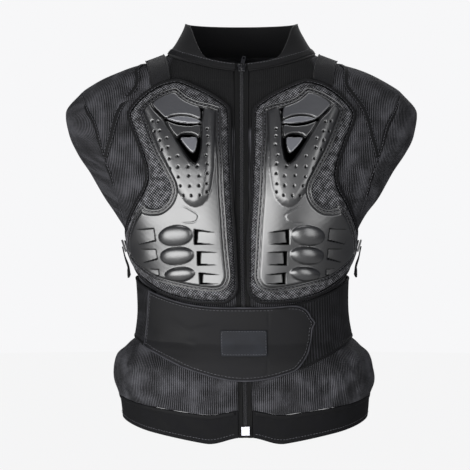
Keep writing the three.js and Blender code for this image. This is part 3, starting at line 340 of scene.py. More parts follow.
def even_path(points, step, closed=False):
    """The same path with points at an even distance."""
    points = np.asarray(points, float)
    if closed:
        points = np.vstack([points, points[:1]])
    lengths = np.concatenate([[0], np.cumsum(np.linalg.norm(np.diff(points[:, :3], axis=0), axis=1))])
    count = max(int(round(lengths[-1] / step)), 3)
    at = np.linspace(0, lengths[-1], count + 1)
    even = np.stack([np.interp(at, lengths, points[:, axis]) for axis in range(points.shape[1])], axis=1)
    return even[:-1] if closed else even


# Meshes

def flat_points(bm):
    bm.verts.ensure_lookup_table()
    return np.array([vert.co[:] for vert in bm.verts])


def set_points(bm, points):
    for vert, point in zip(bm.verts, points):
        vert.co = point


def enter(name, mesh, material, replaces=(), wall=0.0):
    """Puts a mesh into the scene as a smooth piece of the vest, with a wall behind it where one is given."""
    mesh.polygons.foreach_set("use_smooth", np.ones(len(mesh.polygons), bool))
    mesh.materials.append(material)
    mesh.update()
    made = bpy.data.objects.new(name, mesh)
    bpy.context.scene.collection.objects.link(made)
    if wall:
        solid = made.modifiers.new("wall", "SOLIDIFY")
        solid.thickness, solid.offset, solid.use_even_offset = wall, -1, False
    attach(made, VEST)
    if replaces:
        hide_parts(*replaces)
    return made


def piece(name, bm, place, material, slot, replaces=(), weld=False, wall=0.0):
    """Turns a flat bmesh into a piece: place gives the points and the cloth coordinates."""
    mesh = bpy.data.meshes.new(name)
    bm.to_mesh(mesh)
    bm.free()
    flat = np.empty(len(mesh.vertices) * 3)
    mesh.vertices.foreach_get("co", flat)
    points, cloth = place(flat.reshape(-1, 3))
    mesh.vertices.foreach_set("co", np.ascontiguousarray(points).ravel())
    corners = np.empty(len(mesh.loops), np.int32)
    mesh.loops.foreach_get("vertex_index", corners)
    layer = mesh.uv_layers.new(name="cloth")
    layer.data.foreach_set("uv", np.ascontiguousarray(cloth[corners]).ravel())
    if weld:
        seam = bmesh.new()
        seam.from_mesh(mesh)
        bmesh.ops.remove_doubles(seam, verts=seam.verts, dist=1e-5)
        holes = [edge for edge in seam.edges if edge.is_boundary]
        bmesh.ops.holes_fill(seam, edges=holes, sides=64)
        bmesh.ops.recalc_face_normals(seam, faces=seam.faces)
        seam.to_mesh(mesh)
        seam.free()
    return enter(name, mesh, material, replaces, wall)


def grid(columns, rows):
    bm = bmesh.new()
    bmesh.ops.create_grid(bm, x_segments=columns, y_segments=rows, size=0.5)
    return bm


def laid_cloth(name, columns, rows, where, lift, material, slot, **options):
    """A cloth laid on the body: where(s, t) gives angle and height, lift(s, t, angle, z) its distance."""
    def place(flat):
        s, t = flat[:, 0] + 0.5, flat[:, 1] + 0.5
        angle, z = where(s, t)
        whole = np.where(angle > math.pi, 2 * girth(np.full_like(z, math.pi), z), 0)
        cloth = np.stack([whole + girth(signed_turn(angle), z), z], axis=1)
        return on_body(angle, z, lift(s, t, angle, z)), cloth
    return piece(name, grid(columns, rows), place, material, slot, **options)


def contour_patch(name, loop, cell, lift, base, material, slot, behind=False, **options):
    """A relief on the body inside a closed outline of flat places, with walls down to its base."""
    low, high = loop.min(0), loop.max(0)
    count = np.ceil((high - low) / cell).astype(int) + 2
    bm = grid(int(count[0]), int(count[1]))
    flat = flat_points(bm)[:, :2] * count * cell + (low + high) / 2
    depth = depth_in(flat, loop)
    set_points(bm, np.column_stack([flat, depth]))
    outside = [vert for vert in bm.verts if vert.co.z < 0.05 * cell]
    bmesh.ops.delete(bm, geom=outside, context="VERTS")
    loose = [vert for vert in bm.verts if not vert.link_faces]
    bmesh.ops.delete(bm, geom=loose, context="VERTS")
    rim = [vert for vert in bm.verts if vert.is_boundary]
    _, snapped = nearest_on(np.array([vert.co[:2] for vert in rim]), loop)
    for vert, point in zip(rim, snapped):
        vert.co = (point[0], point[1], 0)
    edges = [edge for edge in bm.edges if edge.is_boundary]
    wall = bmesh.ops.extrude_edge_only(bm, edges=edges)
    for vert in (item for item in wall["geom"] if isinstance(item, bmesh.types.BMVert)):
        vert.co.z = -1

    def place(flat):
        side = flat[:, 2] < 0
        raised = lift(flat[:, :2], np.maximum(flat[:, 2], 0))
        height = np.where(side, base(flat[:, :2]) if callable(base) else base, raised)
        angle = turn_at(flat[:, 0], flat[:, 1], behind)
        return on_body(angle, flat[:, 1], height), flat[:, :2].copy()
    return piece(name, bm, place, material, slot, **options)


def tape(name, path, normals, across, material, slot, closed=False, **options):
    """A band of rounded section along a path: across is a closed loop of (beside, above) places."""
    path, normals, across = (np.asarray(values, float) for values in (path, normals, across))
    stations, sides = len(path), len(across)
    if closed:
        along = unit(np.roll(path, -1, 0) - np.roll(path, 1, 0))
    else:
        along = unit(np.gradient(path, axis=0))
    beside = unit(np.cross(along, normals))
    columns = stations if closed else stations - 1
    steps = np.linalg.norm(np.diff(np.vstack([path, path[:1]]), axis=0), axis=1)
    travelled = np.concatenate([[0], np.cumsum(steps)])
    girths = np.concatenate([[0], np.cumsum(np.linalg.norm(np.roll(across, -1, 0) - across, axis=1))])

    def place(flat):
        i = np.rint((flat[:, 0] + 0.5) * columns).astype(int)
        j = np.rint((flat[:, 1] + 0.5) * sides).astype(int)
        a, b = i % stations, j % sides
        points = path[a] + beside[a] * across[b, :1] + normals[a] * across[b, 1:]
        return points, np.stack([girths[j], travelled[i]], axis=1)
    return piece(name, grid(columns, sides), place, material, slot, weld=True, **options)


def flat_section(width, thick, base=0.0, power=5, count=16):
    """Section of a flat band with rounded edges."""
    turn = np.linspace(0, 2 * math.pi, count, endpoint=False)
    cosine, sine = np.cos(turn), np.sin(turn)
    beside = np.sign(cosine) * np.abs(cosine) ** (2 / power) * width / 2
    above = np.sign(sine) * np.abs(sine) ** (2 / power) * thick / 2
    return np.stack([-beside, above + base + thick / 2], axis=1)


def scattered(name, form, places, material, replaces=()):
    """One piece made of the same small form at many places: form is a bmesh, places are 4 x 4 matrices."""
    single = bpy.data.meshes.new(f"{name}_form")
    bmesh.ops.recalc_face_normals(form, faces=form.faces)
    form.to_mesh(single)
    form.free()
    joined = bmesh.new()
    for _ in places:
        joined.from_mesh(single)
    mesh = bpy.data.meshes.new(name)
    joined.to_mesh(mesh)
    joined.free()
    points = np.empty(len(single.vertices) * 3)
    single.vertices.foreach_get("co", points)
    bpy.data.meshes.remove(single)
    points = points.reshape(-1, 3)
    places = np.array(places)
    spread = np.einsum("nij,pj->npi", places[:, :3, :3], points) + places[:, None, :3, 3]
    mesh.vertices.foreach_set("co", spread.ravel())
    return enter(name, mesh, material, replaces)


def frames_of(places, x_axes, y_axes, z_axes):
    """4 x 4 matrices with the given axes, one for each place."""
    made = np.tile(np.eye(4), (len(places), 1, 1))
    made[:, :3, 0], made[:, :3, 1], made[:, :3, 2], made[:, :3, 3] = x_axes, y_axes, z_axes, places
    return made


def stitches(name, path, normals, length, gap, radius, closed=False):
    """A row of short threads along a path on the cloth."""
    even = even_path(np.column_stack([path, normals]), (length + gap) / 4, closed)
    count = (len(even) - 1) // 4
    first, last = even[0:4 * count:4], even[3:4 * count:4]
    run = last[:, :3] - first[:, :3]
    beside = unit(np.cross(first[:, 3:], run))
    above = unit(np.cross(run, beside))
    thread = bmesh.new()
    bmesh.ops.create_uvsphere(thread, u_segments=6, v_segments=4, radius=1.0)
    places = frames_of((first[:, :3] + last[:, :3]) / 2, beside * radius, above * radius, run / 2)
    return scattered(name, thread, places, finish_of("Thread"))


def flat_to_body(places, lift, behind=False):
    """Points and normals on the body for flat places."""
    angle = turn_at(places[:, 0], places[:, 1], behind)
    return on_body(angle, places[:, 1], np.broadcast_to(lift, angle.shape)), outward(angle, places[:, 1])


# Finishes

WAVE_PERIOD = 0.31416
# Black for the painted shade in the plates' recesses, holes, groove and scoops, and the gloss of the cloths
PAINTED_SHADE_BLACK, CLOTH_GLOSS = (0.0005, 0.0005, 0.0005, 1), 0.15


def linear(color):
    """Shader colour for a #rrggbb colour."""
    parts = [int(color[i:i + 2], 16) / 255 for i in (1, 3, 5)]
    return tuple(c / 12.92 if c <= 0.04045 else ((c + 0.055) / 1.055) ** 2.4 for c in parts) + (1.0,)


def node(tree, kind, inputs=None, **settings):
    made = tree.nodes.new(kind)
    for name, value in settings.items():
        setattr(made, name, value)
    for name, value in (inputs or {}).items():
        socket = made.inputs[name]
        if isinstance(value, bpy.types.NodeSocket):
            tree.links.new(value, socket)
        else:
            socket.default_value = value
    return made


def group(name, inputs, outputs):
    """An empty node group with named sockets, and its two end nodes."""
    tree = bpy.data.node_groups.new(name, "ShaderNodeTree")
    for socket, kind, value in inputs:
        made = tree.interface.new_socket(socket, in_out="INPUT", socket_type=kind)
        if value is not None:
            made.default_value = value
    for socket, kind in outputs:
        tree.interface.new_socket(socket, in_out="OUTPUT", socket_type=kind)
    return tree, tree.nodes.new("NodeGroupInput").outputs, tree.nodes.new("NodeGroupOutput")


def rib_group():
    """Fine ribs that run up the cloth, with the uneven tone of a knitted mesh."""
    tree, into, out = group("Knitted ribs", [
        ("Vector", "NodeSocketVector", None), ("Pitch", "NodeSocketFloat", 0.0027),
        ("Stitch", "NodeSocketFloat", 0.002)], [("Rib", "NodeSocketFloat"), ("Tone", "NodeSocketFloat")])
    scale = node(tree, "ShaderNodeMath", {0: WAVE_PERIOD, 1: into["Pitch"]}, operation="DIVIDE").outputs[0]
    wave = node(tree, "ShaderNodeTexWave", {"Vector": into["Vector"], "Scale": scale, "Distortion": 0.6,
                "Detail": 1.0, "Detail Scale": 0.5}, wave_type="BANDS", bands_direction="X").outputs["Fac"]
    cross = node(tree, "ShaderNodeMath", {0: WAVE_PERIOD, 1: into["Stitch"]}, operation="DIVIDE").outputs[0]
    knots = node(tree, "ShaderNodeTexWave", {"Vector": into["Vector"], "Scale": cross, "Distortion": 0.8,
                 "Detail": 1.0}, wave_type="BANDS", bands_direction="Y").outputs["Fac"]
    sharp = node(tree, "ShaderNodeMath", {0: wave, 1: 2.2}, operation="POWER").outputs[0]
    mixed = node(tree, "ShaderNodeMath", {0: knots, 1: 0.35, 2: 0.65}, operation="MULTIPLY_ADD").outputs[0]
    rib = node(tree, "ShaderNodeMath", {0: sharp, 1: mixed}, operation="MULTIPLY").outputs[0]
    noise = node(tree, "ShaderNodeTexNoise", {"Vector": into["Vector"], "Scale": 38.0, "Detail": 3.0})
    tree.links.new(rib, out.inputs["Rib"])
    tree.links.new(noise.outputs["Fac"], out.inputs["Tone"])
    return tree


def check_group():
    """A small woven check: two crossing sets of diagonal threads."""
    tree, into, out = group("Woven check", [
        ("Vector", "NodeSocketVector", None), ("Size", "NodeSocketFloat", 0.0025)],
        [("Check", "NodeSocketFloat"), ("Tone", "NodeSocketFloat")])
    scale = node(tree, "ShaderNodeMath", {0: WAVE_PERIOD, 1: into["Size"]}, operation="DIVIDE").outputs[0]
    waves = []
    for turn in (38, -52):
        turned = node(tree, "ShaderNodeVectorRotate", {"Vector": into["Vector"], "Angle": turn * DEGREE},
                      rotation_type="Z_AXIS").outputs[0]
        waves.append(node(tree, "ShaderNodeTexWave", {"Vector": turned, "Scale": scale, "Distortion": 0.12,
                          "Detail": 1.0, "Detail Scale": 0.7}, wave_type="BANDS").outputs["Fac"])
    both = node(tree, "ShaderNodeMath", {0: waves[0], 1: waves[1]}, operation="MULTIPLY").outputs[0]
    noise = node(tree, "ShaderNodeTexNoise", {"Vector": into["Vector"], "Scale": 160.0, "Detail": 2.0})
    blotch = node(tree, "ShaderNodeMapRange", {"Value": noise.outputs["Fac"], "From Min": 0.35,
                  "From Max": 0.65, "To Min": 0.45, "To Max": 1.15}).outputs[0]
    check = node(tree, "ShaderNodeMath", {0: both, 1: blotch}, operation="MULTIPLY", use_clamp=True)
    tree.links.new(check.outputs[0], out.inputs["Check"])
    tree.links.new(noise.outputs["Fac"], out.inputs["Tone"])
    return tree


def grain_group():
    """Fine grain over slow changes of tone, for smooth cloth, webbing and moulded plastic."""
    tree, into, out = group("Grain", [
        ("Vector", "NodeSocketVector", None), ("Fine", "NodeSocketFloat", 900.0),
        ("Slow", "NodeSocketFloat", 30.0)], [("Grain", "NodeSocketFloat"), ("Tone", "NodeSocketFloat")])
    fine = node(tree, "ShaderNodeTexNoise", {"Vector": into["Vector"], "Scale": into["Fine"], "Detail": 2.0})
    slow = node(tree, "ShaderNodeTexNoise", {"Vector": into["Vector"], "Scale": into["Slow"], "Detail": 4.0})
    tree.links.new(fine.outputs["Fac"], out.inputs["Grain"])
    tree.links.new(slow.outputs["Fac"], out.inputs["Tone"])
    return tree


def surface(name, effect, values, dark, light, tone_share=0.35, rough=(0.8, 0.9), bump=0.3, depth=0.0004,
            on_cloth=True, mask=None, painted_shade=None, **shader):
    """A finish that follows one effect group: its first output is the pattern, its second the slow tone."""
    material = bpy.data.materials.new(name)
    material.use_nodes = True
    tree = material.node_tree
    principled = tree.nodes["Principled BSDF"]
    if on_cloth:
        where = node(tree, "ShaderNodeUVMap", uv_map="cloth").outputs["UV"]
    else:
        where = node(tree, "ShaderNodeTexCoord").outputs["Object"]
    made = node(tree, "ShaderNodeGroup", node_tree=effect)
    tree.links.new(where, made.inputs["Vector"])
    for socket, value in values.items():
        made.inputs[socket].default_value = value
    pattern, tone = made.outputs[0], made.outputs[1]
    spread = tone_range(tree, tone, -tone_share, tone_share)
    share = node(tree, "ShaderNodeMath", {0: pattern, 1: spread}, operation="ADD", use_clamp=True)
    color = mix_color(tree, share.outputs[0], linear(dark), linear(light))
    if mask:
        attribute, shade = mask
        painted = node(tree, "ShaderNodeAttribute", attribute_name=attribute).outputs["Fac"]
        color = mix_color(tree, painted, color, linear(shade))
    # Painted shade: an attribute blackens the colour and makes the surface metallic, so that these places
    # lose their gloss as well
    if painted_shade:
        painted_shade_share = node(tree, "ShaderNodeAttribute", attribute_name=painted_shade).outputs["Fac"]
        color = mix_color(tree, painted_shade_share, color, PAINTED_SHADE_BLACK)
        tree.links.new(painted_shade_share, principled.inputs["Metallic"])
    tree.links.new(color, principled.inputs["Base Color"])
    tree.links.new(tone_range(tree, tone, *rough), principled.inputs["Roughness"])
    relief = node(tree, "ShaderNodeBump", {"Height": pattern, "Strength": bump, "Distance": depth})
    tree.links.new(relief.outputs[0], principled.inputs["Normal"])
    if on_cloth:
        principled.inputs["Specular IOR Level"].default_value = CLOTH_GLOSS
    for socket, value in shader.items():
        principled.inputs[socket.replace("_", " ")].default_value = value
    return material


def tone_range(tree, tone, low, high):
    """The slow tone spread from low to high."""
    return node(tree, "ShaderNodeMapRange", {"Value": tone, "From Min": 0.3, "From Max": 0.7, "To Min": low,
                "To Max": high}).outputs[0]


def mix_color(tree, share, first, second):
    return node(tree, "ShaderNodeMix", {0: share, 6: first, 7: second}, data_type="RGBA").outputs[2]


def inset_loop(loop, distance):
    """The closed outline moved inwards."""
    along = unit(np.roll(loop, -1, 0) - np.roll(loop, 1, 0))
    beside = np.stack([-along[:, 1], along[:, 0]], axis=1)
    after = np.roll(loop, -1, 0)
    area = np.sum(loop[:, 0] * after[:, 1] - after[:, 0] * loop[:, 1])
    return loop + beside * distance * np.sign(area)


def from_table(table, top, height, inset, width):
    """Closed outline from rows of (down, near edge, far edge)."""
    table = np.array(table)
    z = top - table[:, 0] * height
    near = np.stack([inset + table[:, 1] * width, z], axis=1)
    far = np.stack([inset + table[:, 2] * width, z], axis=1)
    return np.vstack([near, far[::-1]])


def paint(made, name, value_of):
    """Writes an attribute over a piece from its cloth coordinates."""
    mesh = made.data
    corners = np.empty(len(mesh.loops), np.int32)
    mesh.loops.foreach_get("vertex_index", corners)
    uv = np.empty(len(mesh.loops) * 2)
    mesh.uv_layers["cloth"].data.foreach_get("uv", uv)
    flat = np.zeros((len(mesh.vertices), 2))
    flat[corners] = uv.reshape(-1, 2)
    layer = mesh.attributes.new(name, "FLOAT", "POINT")
    layer.data.foreach_set("value", value_of(flat).astype(np.float32))


def round_rim(made, width, segments=2):
    """Rounds the square rim that a wall leaves."""
    edge = made.modifiers.new("rim", "BEVEL")
    edge.limit_method, edge.angle_limit = "ANGLE", 60 * DEGREE
    edge.width, edge.segments, edge.profile = width, segments, 0.5


# Chest pad: rows of down, edge beside the zip, edge beside the arm, as shares
PAD_TABLE = (
    (0, 0.406, 0.465), (0.02, 0.32, 0.57), (0.06, 0.19, 0.67), (0.118, 0.064, 0.76), (0.17, 0.045, 0.788),
    (0.3, 0.04, 0.71), (0.4, 0.033, 0.658), (0.47, 0.027, 0.672), (0.55, 0.024, 0.76), (0.61, 0.018, 0.83),
    (0.68, 0.01, 0.93), (0.75, 0.006, 1), (0.8, 0.004, 0.995), (0.86, 0.003, 0.9), (0.92, 0, 0.715),
    (0.965, 0.022, 0.55), (0.986, 0.06, 0.42), (1, 0.11, 0.262),
)
PAD_LOOP = smooth_loop(from_table(PAD_TABLE, -PAD_DROP, PAD_HEIGHT, PAD_INSET, PAD_WIDTH), 5)

# Back pad: rows of down and half width, as shares
BACK_PAD_DROP, BACK_PAD_HEIGHT, BACK_PAD_HALF, BACK_PAD_THICK = 0.040, 0.248, 0.118, 0.009
BACK_PAD_TABLE = (
    (0, 0.8), (0.03, 0.9), (0.1, 0.96), (0.2, 0.99), (0.32, 1), (0.44, 0.99), (0.56, 0.97), (0.68, 0.94),
    (0.8, 0.9), (0.91, 0.84), (0.97, 0.77), (1, 0.68),
)
BACK_PAD_LOOP = smooth_loop(from_table([(down, -half, half) for down, half in BACK_PAD_TABLE],
                                       -BACK_PAD_DROP, BACK_PAD_HEIGHT, 0, BACK_PAD_HALF), 5)

# Chest plate: places on it are shares across it from the zip side and down it
PLATE_EDGE = (
    (0.506, 0.001), (0.597, 0.017), (0.674, 0.038), (0.751, 0.066), (0.802, 0.089), (0.825, 0.108),
    (0.813, 0.139), (0.773, 0.194), (0.732, 0.249), (0.665, 0.323), (0.599, 0.383), (0.533, 0.444),
    (0.507, 0.481), (0.507, 0.511), (0.537, 0.546), (0.595, 0.573), (0.66, 0.578), (0.732, 0.57),
    (0.752, 0.556), (0.807, 0.572), (0.871, 0.62), (0.929, 0.676), (0.98, 0.743), (0.999, 0.808),
    (0.931, 0.851), (0.834, 0.888), (0.7, 0.94), (0.599, 0.959), (0.45, 0.978), (0.336, 0.99), (0.2, 1.0),
    (0.101, 0.999), (0.04, 0.981), (0.004, 0.945), (-0.003, 0.908), (0.01, 0.814), (0.03, 0.642),
    (0.049, 0.506), (0.063, 0.347), (0.08, 0.238), (0.086, 0.11), (0.122, 0.092), (0.174, 0.082),
    (0.289, 0.068), (0.391, 0.044), (0.467, 0.008),
)
RIB_OUTER = (
    (0.79, 0.113), (0.723, 0.188), (0.646, 0.289), (0.579, 0.375), (0.511, 0.456), (0.45, 0.503),
    (0.383, 0.55), (0.338, 0.568), (0.294, 0.575), (0.236, 0.563), (0.185, 0.528), (0.158, 0.482),
    (0.136, 0.392), (0.134, 0.274), (0.138, 0.131), (0.153, 0.106),
)
RIB_INNER = (
    (0.705, 0.094), (0.665, 0.125), (0.588, 0.167), (0.481, 0.26), (0.389, 0.332), (0.344, 0.363),
    (0.307, 0.376), (0.276, 0.353), (0.256, 0.297), (0.253, 0.233), (0.254, 0.18), (0.237, 0.111),
)
RECESS = RIB_INNER + ((0.3, 0.06), (0.5, 0.0), (0.72, 0.06))
RIB_HOLES = (
    (0.691, 0.175), (0.64, 0.18), (0.672, 0.222), (0.621, 0.223), (0.619, 0.267), (0.556, 0.26),
    (0.599, 0.309), (0.545, 0.301), (0.528, 0.351), (0.456, 0.343), (0.519, 0.394), (0.449, 0.389),
    (0.363, 0.389), (0.283, 0.388), (0.499, 0.438), (0.442, 0.432), (0.353, 0.428), (0.264, 0.43),
    (0.423, 0.476), (0.343, 0.477), (0.264, 0.475), (0.199, 0.467), (0.399, 0.519), (0.328, 0.519),
    (0.256, 0.518), (0.196, 0.504), (0.195, 0.418), (0.198, 0.378), (0.21, 0.34), (0.191, 0.292),
    (0.197, 0.251), (0.201, 0.215),
)
LENS = (
    (0.568, 0.159), (0.526, 0.151), (0.472, 0.146), (0.417, 0.145), (0.344, 0.151), (0.271, 0.166),
    (0.267, 0.181), (0.362, 0.183), (0.48, 0.175),
)
LENS_SLOT = ((0.583, 0.165), (0.48, 0.182), (0.362, 0.19), (0.259, 0.186))
TOP_FIELD = (
    (0.69, 0.1), (0.62, 0.14), (0.575, 0.158), (0.526, 0.148), (0.472, 0.143), (0.417, 0.142),
    (0.344, 0.148), (0.262, 0.162), (0.262, 0.115), (0.285, 0.095), (0.33, 0.083), (0.4, 0.062),
    (0.46, 0.035), (0.506, 0.022), (0.58, 0.035), (0.65, 0.058), (0.7, 0.085),
)
LOW_FIELD = (
    (0.575, 0.172), (0.48, 0.188), (0.362, 0.196), (0.262, 0.192), (0.268, 0.252), (0.316, 0.24),
    (0.37, 0.235), (0.433, 0.24), (0.478, 0.251),
)
WINDOW = ((0.444, 0.257), (0.371, 0.25), (0.289, 0.255), (0.324, 0.325))
DOMES = ((0.459, 0.708, 20.6, 13.1, -3), (0.45, 0.809, 20.5, 12.0, -5), (0.432, 0.909, 18.6, 10.9, -8))
# Scoops beside the domes: the two corners of the open side, then the two of the shut side
SCOOPS = (
    ((0.123, 0.698), (0.102, 0.754), (0.301, 0.753), (0.302, 0.68)),
    ((0.102, 0.798), (0.092, 0.861), (0.278, 0.861), (0.279, 0.79)),
    ((0.083, 0.914), (0.077, 0.96), (0.264, 0.964), (0.265, 0.901)),
    ((0.869, 0.673), (0.807, 0.751), (0.636, 0.733), (0.653, 0.668)),
    ((0.818, 0.777), (0.783, 0.847), (0.629, 0.828), (0.638, 0.776)),
    ((0.747, 0.877), (0.703, 0.925), (0.623, 0.923), (0.622, 0.881)),
)
WEDGE = ((0.436, 0.568), (0.292, 0.607), (0.28, 0.631), (0.322, 0.645), (0.467, 0.637))


# Heights of the plate's forms over its face, and drops of those sunk into it, in mm
RIB_RISE, LOW_FIELD_RISE, DOME_RISE = 5.2, 2.7, 6
CHANNEL_DROP, SCOOP_DROP, LINE_DROP, HOLE_DROP = 2.4, 3.0, 0.9, 2.6


def plate_flat(places):
    """Flat places, in metres, for places on the plate."""
    return np.array([PLATE_INSET, PLATE_TOP]) + np.array(places) * [PLATE_WIDTH, -PLATE_HEIGHT]


PLATE_LOOP = smooth_loop(plate_flat(PLATE_EDGE), 6)


def guard_swell(flat):
    """How far the guard swells in the middle of the plate."""
    beside = (np.abs(flat[:, 0]) - PLATE_INSET - PLATE_WIDTH / 2) / (0.53 * PLATE_WIDTH)
    above = (flat[:, 1] - PLATE_TOP + PLATE_HEIGHT / 2) / (0.53 * PLATE_HEIGHT)
    return PLATE_CROWN * np.maximum(0, 1 - beside ** 2) * np.maximum(0, 1 - above ** 2)


def plate_foot(flat):
    """Distance of the plate's back from the body."""
    return PLATE_BASE + guard_swell(flat)


def step_in(flat, loop, width):
    """0 outside a loop, rising to 1 inside it over a width in mm."""
    return smoothstep(depth_in(flat, loop) / MM, 0, width)


def plate_parts(flat):
    """Shares of the plate's inner forms at each flat place."""
    within = inside(flat, smooth_loop(plate_flat(RIB_OUTER + RIB_INNER[::-1]), 4))
    outer, _ = nearest_on(flat, plate_flat(RIB_OUTER), closed=False)
    inner, _ = nearest_on(flat, plate_flat(RIB_INNER), closed=False)
    rib = np.where(within, np.sin(np.clip(outer / (11 * MM), 0, 1) * math.pi / 2) ** 0.8
                   * smoothstep(inner / MM, 0, 2.2), 0)
    recess = step_in(flat, smooth_loop(plate_flat(RECESS), 4), 1.4)
    top_field = step_in(flat, smooth_loop(plate_flat(TOP_FIELD), 3), 1.4)
    low_field = step_in(flat, smooth_loop(plate_flat(LOW_FIELD), 3), 1.4)
    lens = step_in(flat, smooth_loop(plate_flat(LENS), 4), 0.9)
    window = step_in(flat, smooth_loop(plate_flat(WINDOW), 4), 0.9)
    return rib, recess, top_field, low_field, lens, window


def plate_relief(flat, depth):
    """Distance of the plate's face from the body, with its rib, recess, domes and scoops."""
    flat = np.column_stack([np.abs(flat[:, 0]), flat[:, 1]])
    edge = depth / MM
    across = (flat[:, 0] - PLATE_INSET) / PLATE_WIDTH
    down = (PLATE_TOP - flat[:, 1]) / PLATE_HEIGHT
    rib, recess, top_field, low_field, lens, window = plate_parts(flat)

    groove = smoothstep(edge, 2.0, 2.8) * (1 - smoothstep(edge, 4.2, 5.0))
    flange = -2 - 1.3 * (1 - smoothstep(edge, 0, 1.1)) - 0.8 * groove
    body = smoothstep(edge, 6.0, 8.4)
    arms = smoothstep(edge, 5.5, 8)
    rise = RIB_RISE * rib * arms
    slope = 1 + 1.2 * np.clip((0.16 - down) / 0.14, 0, 1)
    fields = top_field * slope + low_field * LOW_FIELD_RISE
    floor = 1 - np.maximum.reduce([top_field, low_field, lens, window])
    height = -CHANNEL_DROP * recess * floor * (rib <= 0) + fields * (1 - lens) * recess
    gap, _ = nearest_on(flat, plate_flat(LENS_SLOT), closed=False)
    height *= 1 - smoothstep(-gap / MM, -1.6, -0.9)
    height -= CHANNEL_DROP * smoothstep(-gap / MM, -1.8, -0.8)
    height = np.where(rib > 0, rise, height)

    for a, b, long, short, turn in DOMES:
        centre = plate_flat([(a, b)])[0]
        cosine, sine = math.cos(turn * DEGREE), math.sin(turn * DEGREE)
        x, y = (flat - centre).T / MM
        radius = np.hypot((x * cosine + y * sine) / long, (-x * sine + y * cosine) / short)
        height += DOME_RISE * np.sqrt(np.maximum(0, 1 - radius ** 2))
    for corners in SCOOPS:
        share, within, _ = scoop(flat, corners)
        height -= SCOOP_DROP * share ** 1.6 * smoothstep(within, -0.1, 0.6)
    wedge = depth_in(flat, smooth_loop(plate_flat(WEDGE), 4)) / MM
    line = smoothstep(wedge, -1.7, -1.0) * (1 - smoothstep(wedge, -0.7, 0))
    height -= LINE_DROP * line * (1 - smoothstep(across, 0.37, 0.43))
    height -= HOLE_DROP * hole_share(flat)
    grain = 0.05 * ripple(across, down, 0.004)
    face = (flange * (1 - body) + (height + grain) * body) * MM
    return plate_foot(flat) + PLATE_WALL + PLATE_STEP + face


def scoop(flat, corners):
    """Share of the way down the slope of a scoop, mm inside its outline, and mm before its shut end."""
    loop = plate_flat(corners)
    open_middle, shut_middle = loop[:2].mean(0), loop[2:].mean(0)
    run = shut_middle - open_middle
    along = (flat - open_middle) @ run / (run @ run)
    return np.clip(along, 0, 1), depth_in(flat, loop) / MM, (1 - along) * np.linalg.norm(run) / MM


def hole_share(flat):
    """1 in the small holes of the rib."""
    share = np.zeros(len(flat))
    for hole in plate_flat(RIB_HOLES):
        share = np.maximum(share, 1 - smoothstep(np.hypot(*(flat - hole).T) / MM, 0.9, 1.7))
    return share


def plate_painted_shade(flat):
    """Share of painted shade on the plate: 1 in its sunk places, the sewn groove, the holes, scoops and
    channels.
    """
    flat = np.column_stack([np.abs(flat[:, 0]), flat[:, 1]])
    edge = depth_in(flat, PLATE_LOOP) / MM
    rib, recess, top_field, low_field, lens, window = plate_parts(flat)
    floor = 1 - np.maximum.reduce([top_field, low_field, lens, window])
    # Painted shade in the holes, on the recess floor beside the rib and in the slot under the lens, kept
    # clear of the plate's edge
    dark = np.maximum(hole_share(flat), recess * floor * (rib <= 0))
    gap, _ = nearest_on(flat, plate_flat(LENS_SLOT), closed=False)
    dark = np.maximum(dark, smoothstep(-gap / MM, -1.6, -0.9) * (rib <= 0)) * smoothstep(edge, 7, 8.5)
    # Painted shadow on the walls and shut end of each scoop, broader on the three scoops nearer the zip
    for corners in SCOOPS:
        share, within, before = scoop(flat, corners)
        shut, wall = (4.2, 2.6) if corners[2][0] < 0.5 else (1.5, 1.5)
        walls = (1 - smoothstep(within, wall * share, wall * share + 0.5)) * smoothstep(share, 0.02, 0.2)
        end = 1 - smoothstep(before, shut, shut + 0.6)
        dark = np.maximum(dark, np.maximum(walls, end) * smoothstep(within, -0.6, -0.1))
    # Painted shade in the sewn groove near the edge and, fainter, along the foot of the raised face
    groove = smoothstep(edge, 1.7, 2.2) * (1 - smoothstep(edge, 3.7, 4.2))
    foot = smoothstep(edge, 5.7, 6.0) * (1 - smoothstep(edge, 6.3, 6.9))
    return np.maximum.reduce([dark, 0.9 * groove, 0.7 * foot])


def plate_shade(flat):
    """Share of a pale grain on the plate: the lens and the window under the arch."""
    flat = np.column_stack([np.abs(flat[:, 0]), flat[:, 1]])
    _, _, top_field, _, lens, window = plate_parts(flat)
    return np.clip(0.85 * lens + 0.85 * window + 0.25 * top_field, 0, 1)


def pad_relief(flat, depth):
    """Rounded pad, fullest under the plate."""
    turn = np.clip(depth / (8 * MM), 0, 1)
    round_edge = np.sqrt(1 - (1 - turn) ** 2)
    soft = 0.25 * MM * ripple(flat[:, 0], flat[:, 1], 0.012) * turn
    return PAD_BASE + PAD_RIM + (PAD_THICK - PAD_RIM + 0.8 * guard_swell(flat)) * round_edge + soft


def back_pad_relief(flat, depth):
    """Rounded back pad with two sewn channels that lean outwards."""
    turn = np.clip(depth / (9 * MM), 0, 1)
    round_edge = np.sqrt(1 - (1 - turn) ** 2)
    lean = 1 + 1.5 * (flat[:, 1] + 0.16)
    channels = sum(np.exp(-((flat[:, 0] - place * lean) / (2.2 * MM)) ** 2) for place in (-0.045, 0.045))
    soft = 0.3 * MM * ripple(flat[:, 0], flat[:, 1], 0.02)
    sewn = 2.6 * MM * channels * smoothstep(depth / MM, 10, 24)
    return PAD_BASE + PAD_RIM + (BACK_PAD_THICK - PAD_RIM) * round_edge + soft - sewn


